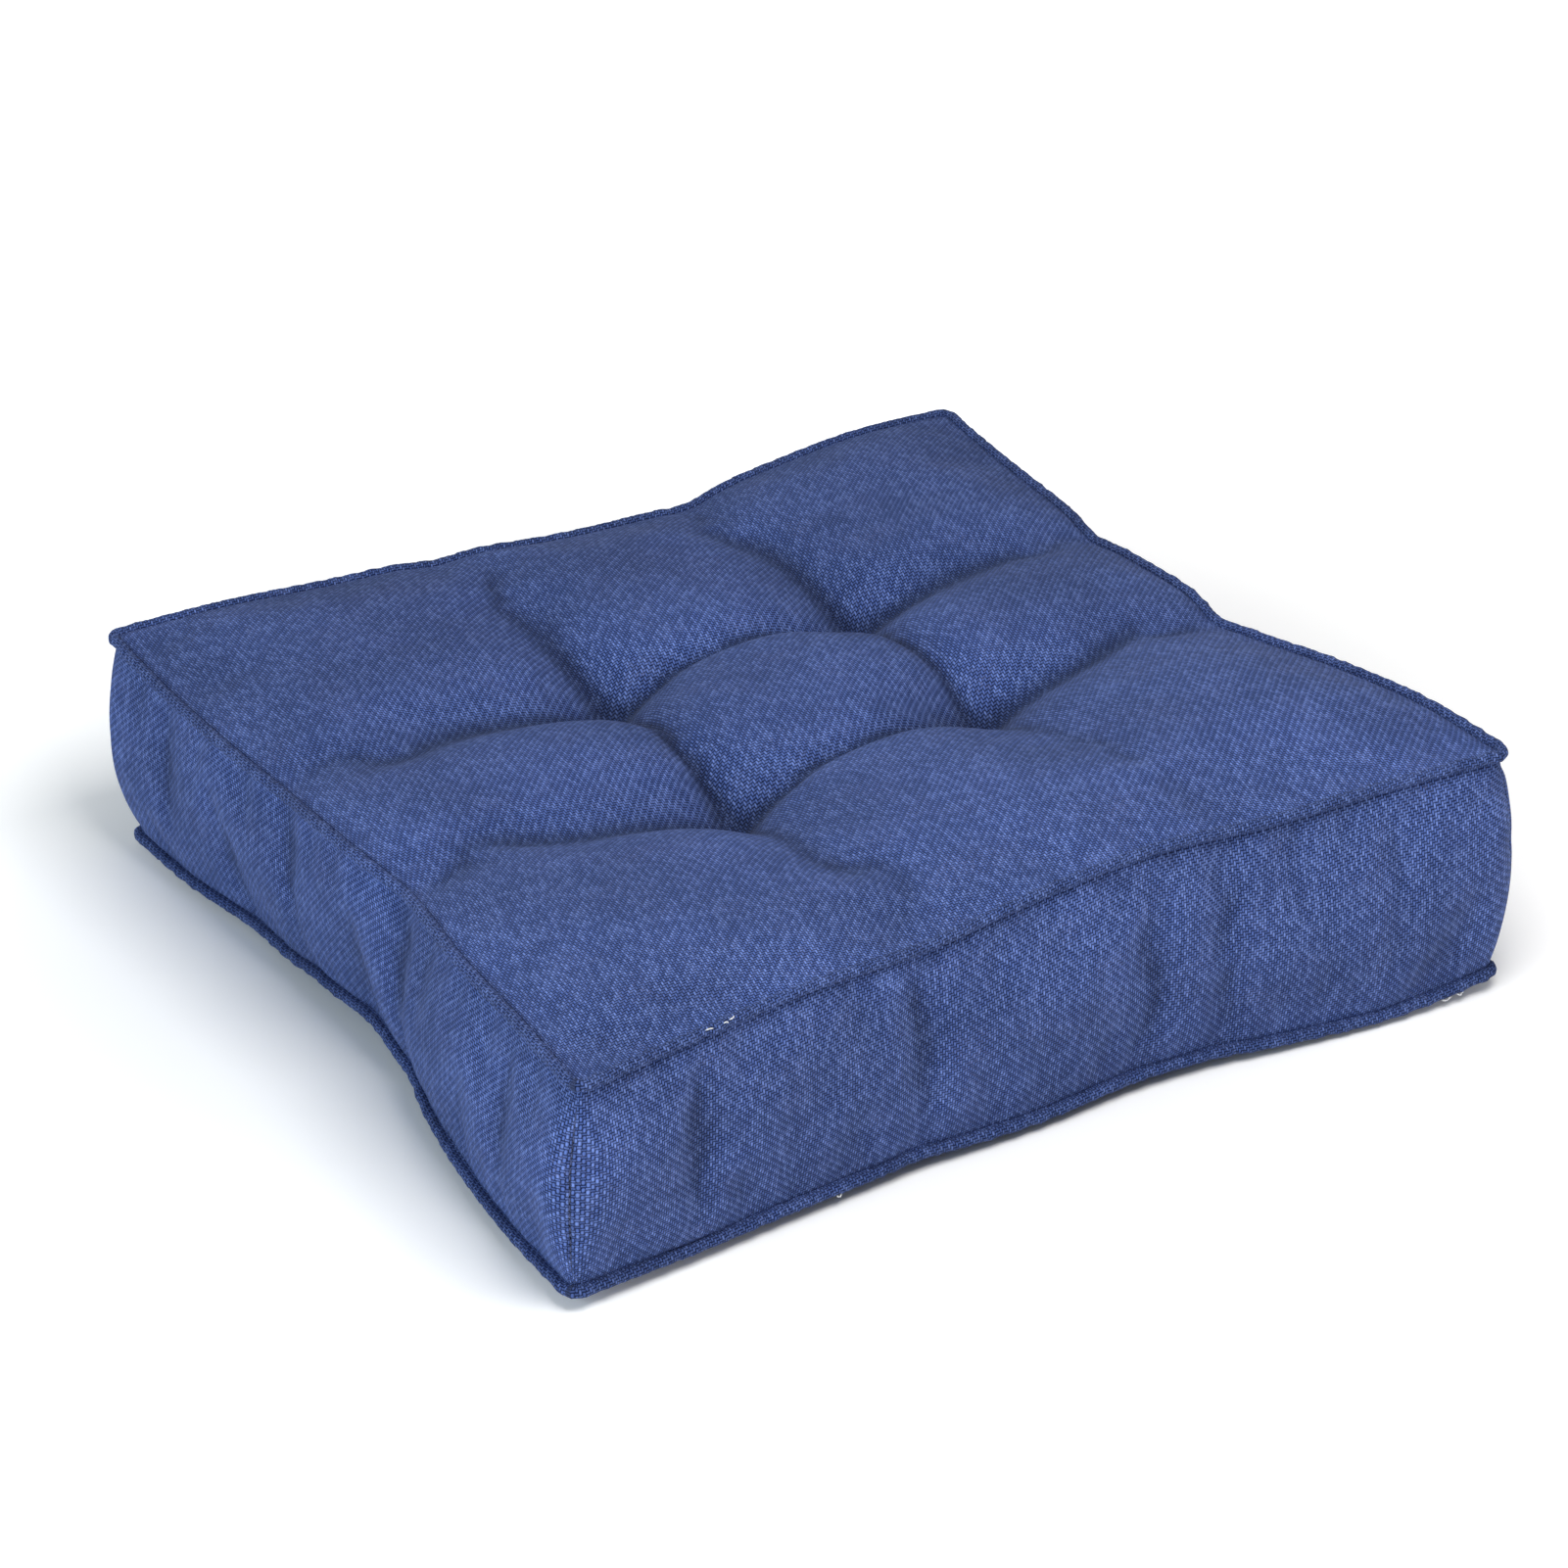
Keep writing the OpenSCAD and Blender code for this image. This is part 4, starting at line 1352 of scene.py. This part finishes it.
def add_thread(name, node, lines, radius, material, pale=0.0, around=6):
    """A piece of many tubes; pale is one number for all or for each tube, 1 for undyed thread."""
    points, quads = tubes(lines, radius, around)
    along = np.linspace(0, 1, lines.shape[1])
    length = np.linalg.norm(np.diff(lines, axis=1), axis=2).sum(1)
    u = np.repeat((length[:, None] * along).ravel(), around)
    v = np.tile(np.arange(around) / around, lines.shape[0] * lines.shape[1])
    piece = new_mesh(name, points, quads, material, np.stack([u, v], -1))
    pale = np.broadcast_to(pale, len(lines))
    add_values(piece, "pale", np.repeat(pale, lines.shape[1] * around))
    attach(piece, "root")
    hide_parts(node)


# %% Stitches
thread_r = 0.3 * MM
STITCH_POINTS = 7


def sew(name, node, lines, pale=0.0):
    """A seam's stitches as one piece of sewing thread."""
    add_thread(name, node, lines, thread_r, thread_material, pale)


def stitches_along(points, away, pitch, length, dip):
    """Stitch lines along a path: an arch over each stitch, dip below the path at its ends."""
    steps = np.linalg.norm(np.diff(points, axis=0), axis=1)
    run = np.concatenate([[0], np.cumsum(steps)])
    count = int(run[-1] // pitch)
    share = np.linspace(-0.5, 0.5, STITCH_POINTS)
    at = (np.arange(count)[:, None] + 0.5) * pitch + share * length
    lines = np.stack([np.interp(at, run, points[:, k]) for k in range(3)], -1)
    out = np.stack([np.interp(at, run, away[:, k]) for k in range(3)], -1)
    return lines + out * (dip * (1 - 1.6 * (2 * share) ** 2))[:, None]


def thread_end(place, tangent, away, length, curl):
    """One loose end of thread: it leaves the seam, bends over and lies along the cloth."""
    t = np.linspace(0, 1, STITCH_POINTS)[:, None]
    lift = away * (1.1 * MM * np.sin(math.pi * np.minimum(t * 1.2, 1)))
    drop = np.array([0, 0, -1]) * curl * t * t
    return place + tangent * length * t + lift + drop


def seam_stitches(line, away, ends):
    """The lockstitch of a seam, just behind its piping, and the loose ends of its thread."""
    closed = np.concatenate([line, line[:1]])
    out = np.concatenate([away, away[:1]])
    path = closed - out * piping_r * 1.2
    lines = stitches_along(path, out, pitch=3.2 * MM, length=2.7 * MM, dip=0.3 * MM)
    run = np.roll(line, -1, axis=0) - line
    run /= np.linalg.norm(run, axis=1)[:, None]
    loose = []
    for share, length, curl in ends:
        k = int(share * len(line))
        place = line[k] + away[k] * piping_r * 0.95
        loose.append(thread_end(place, run[k], away[k], length * MM, curl * MM))
    pale = np.concatenate([np.zeros(len(lines)), np.ones(len(loose))])
    return np.concatenate([lines, np.array(loose)]), pale


# Loose ends of pale thread: the share of the way round, the length and the fall (mm)
top_ends = [(0.034, 4, 0.5), (0.039, 3, 2.2), (0.0405, 2.5, -1.0)]
bottom_ends = [(0.07, 3, 0.4), (0.238, 6, 0.2), (0.242, 4, 0.5)]
lines, pale = seam_stitches(top_loop, top_away, top_ends)
sew("top_seam_stitches", "top_seam_thread", lines, pale)
lines, pale = seam_stitches(bottom_loop, bottom_away, bottom_ends)
sew("bottom_seam_stitches", "bottom_seam_thread", lines, pale)
print("seam stitches", len(lines), "below")

# %% Corner stitches
corner_inset = 1.0 * MM
for corner, side in zip(CORNERS, SIDES):
    column = net_part[side][0][2:-2]
    out = normals[column]
    path = stuffed[column] - out * corner_inset
    lines = stitches_along(path, out, pitch=3.4 * MM, length=2.8 * MM, dip=0.2 * MM)
    sew(f"corner_stitches_{corner}", f"corner_seam_thread_{corner}", lines)

# %% Closing stitches
# The cover was closed by hand, in the middle of the back side, with stitches that lean
closing_share = size_of("closing_seam_thread")[0] / (2 * half_w)
back_start = PIPING_RINGS // 2
back_count = PIPING_RINGS // 4
closing_start = back_start + int(back_count * (0.5 - closing_share / 2))
closing_stop = back_start + int(back_count * (0.5 + closing_share / 2))
closing_away = bottom_away[closing_start:closing_stop]
path = bottom_loop[closing_start:closing_stop] + (0, 0, 1.6 * MM) + closing_away * 1.5 * MM
lines = stitches_along(path, closing_away, pitch=5 * MM, length=2.2 * MM, dip=0.5 * MM)
lean = np.linspace(-1, 1, STITCH_POINTS)[:, None] * np.array([0, 0, 1.0]) * 1.1 * MM
sew("closing_stitches", "closing_seam_thread", lines + lean)
print("closing stitches", len(lines))

# %% [markdown]
# A tie is one length of twine. It goes up through the cushion, over a few threads of cloth at the
# bottom of the pit, and down again to a knot under the cushion.


# %% Ties
def surface_height(panel, place):
    """The height of the stuffed cloth of a panel near a place."""
    points = stuffed[net_part[panel].ravel()]
    away = np.hypot(points[:, 0] - place[0], points[:, 1] - place[1])
    return points[np.argsort(away)[:4], 2].mean()


STRAND_POINTS = 24
OVER_POINTS = 10
TIE_POINTS = 2 * STRAND_POINTS + OVER_POINTS


def tie_line(low, high, gap):
    """Up one strand, over a flattened half circle and down the other, as TIE_POINTS points."""
    t = np.linspace(0, 1, STRAND_POINTS)[:, None]
    side = np.array([gap / 2, 0, 0])
    up_strand = (low - side) * (1 - t) + (high - side) * t
    turn = np.linspace(math.pi, 0, OVER_POINTS + 2)[1:-1, None]
    over = high + np.concatenate([np.cos(turn), 0 * turn, np.sin(turn) * 0.6], 1) * gap / 2
    down_strand = ((low + side) * (1 - t) + (high + side) * t)[::-1]
    return np.concatenate([up_strand, over, down_strand])


def knot_line(centre, size):
    """A trefoil knot: x = sin t + 2 sin 2t, y = cos t - 2 cos 2t, z = -sin 3t."""
    t = np.linspace(0, 2 * math.pi, TIE_POINTS)
    x = np.sin(t) + 2 * np.sin(2 * t)
    y = np.cos(t) - 2 * np.cos(2 * t)
    return centre + np.stack([x, y, -np.sin(3 * t)], -1) * size * (1, 1, 0.8)


twine_r = 0.8 * MM
strand_gap = 4 * MM
knot_size = 1.0 * MM
knot_drop = 1.6 * MM
for name in TUFTS:
    low = np.array([*ties[name], surface_height("bottom", ties[name]) - 0.5 * MM])
    high = np.array([*top_pits[name], surface_height("top", top_pits[name]) - 0.2 * MM])
    knot = knot_line(low - (0, 0, knot_drop), knot_size)
    lines = np.stack([tie_line(low, high, strand_gap), knot])
    add_thread(f"tie_{name}", f"tuft_tie_{name}", lines, twine_r, twine_material, around=10)
    print(name, "tie from", low.round(4), "to", high.round(4))
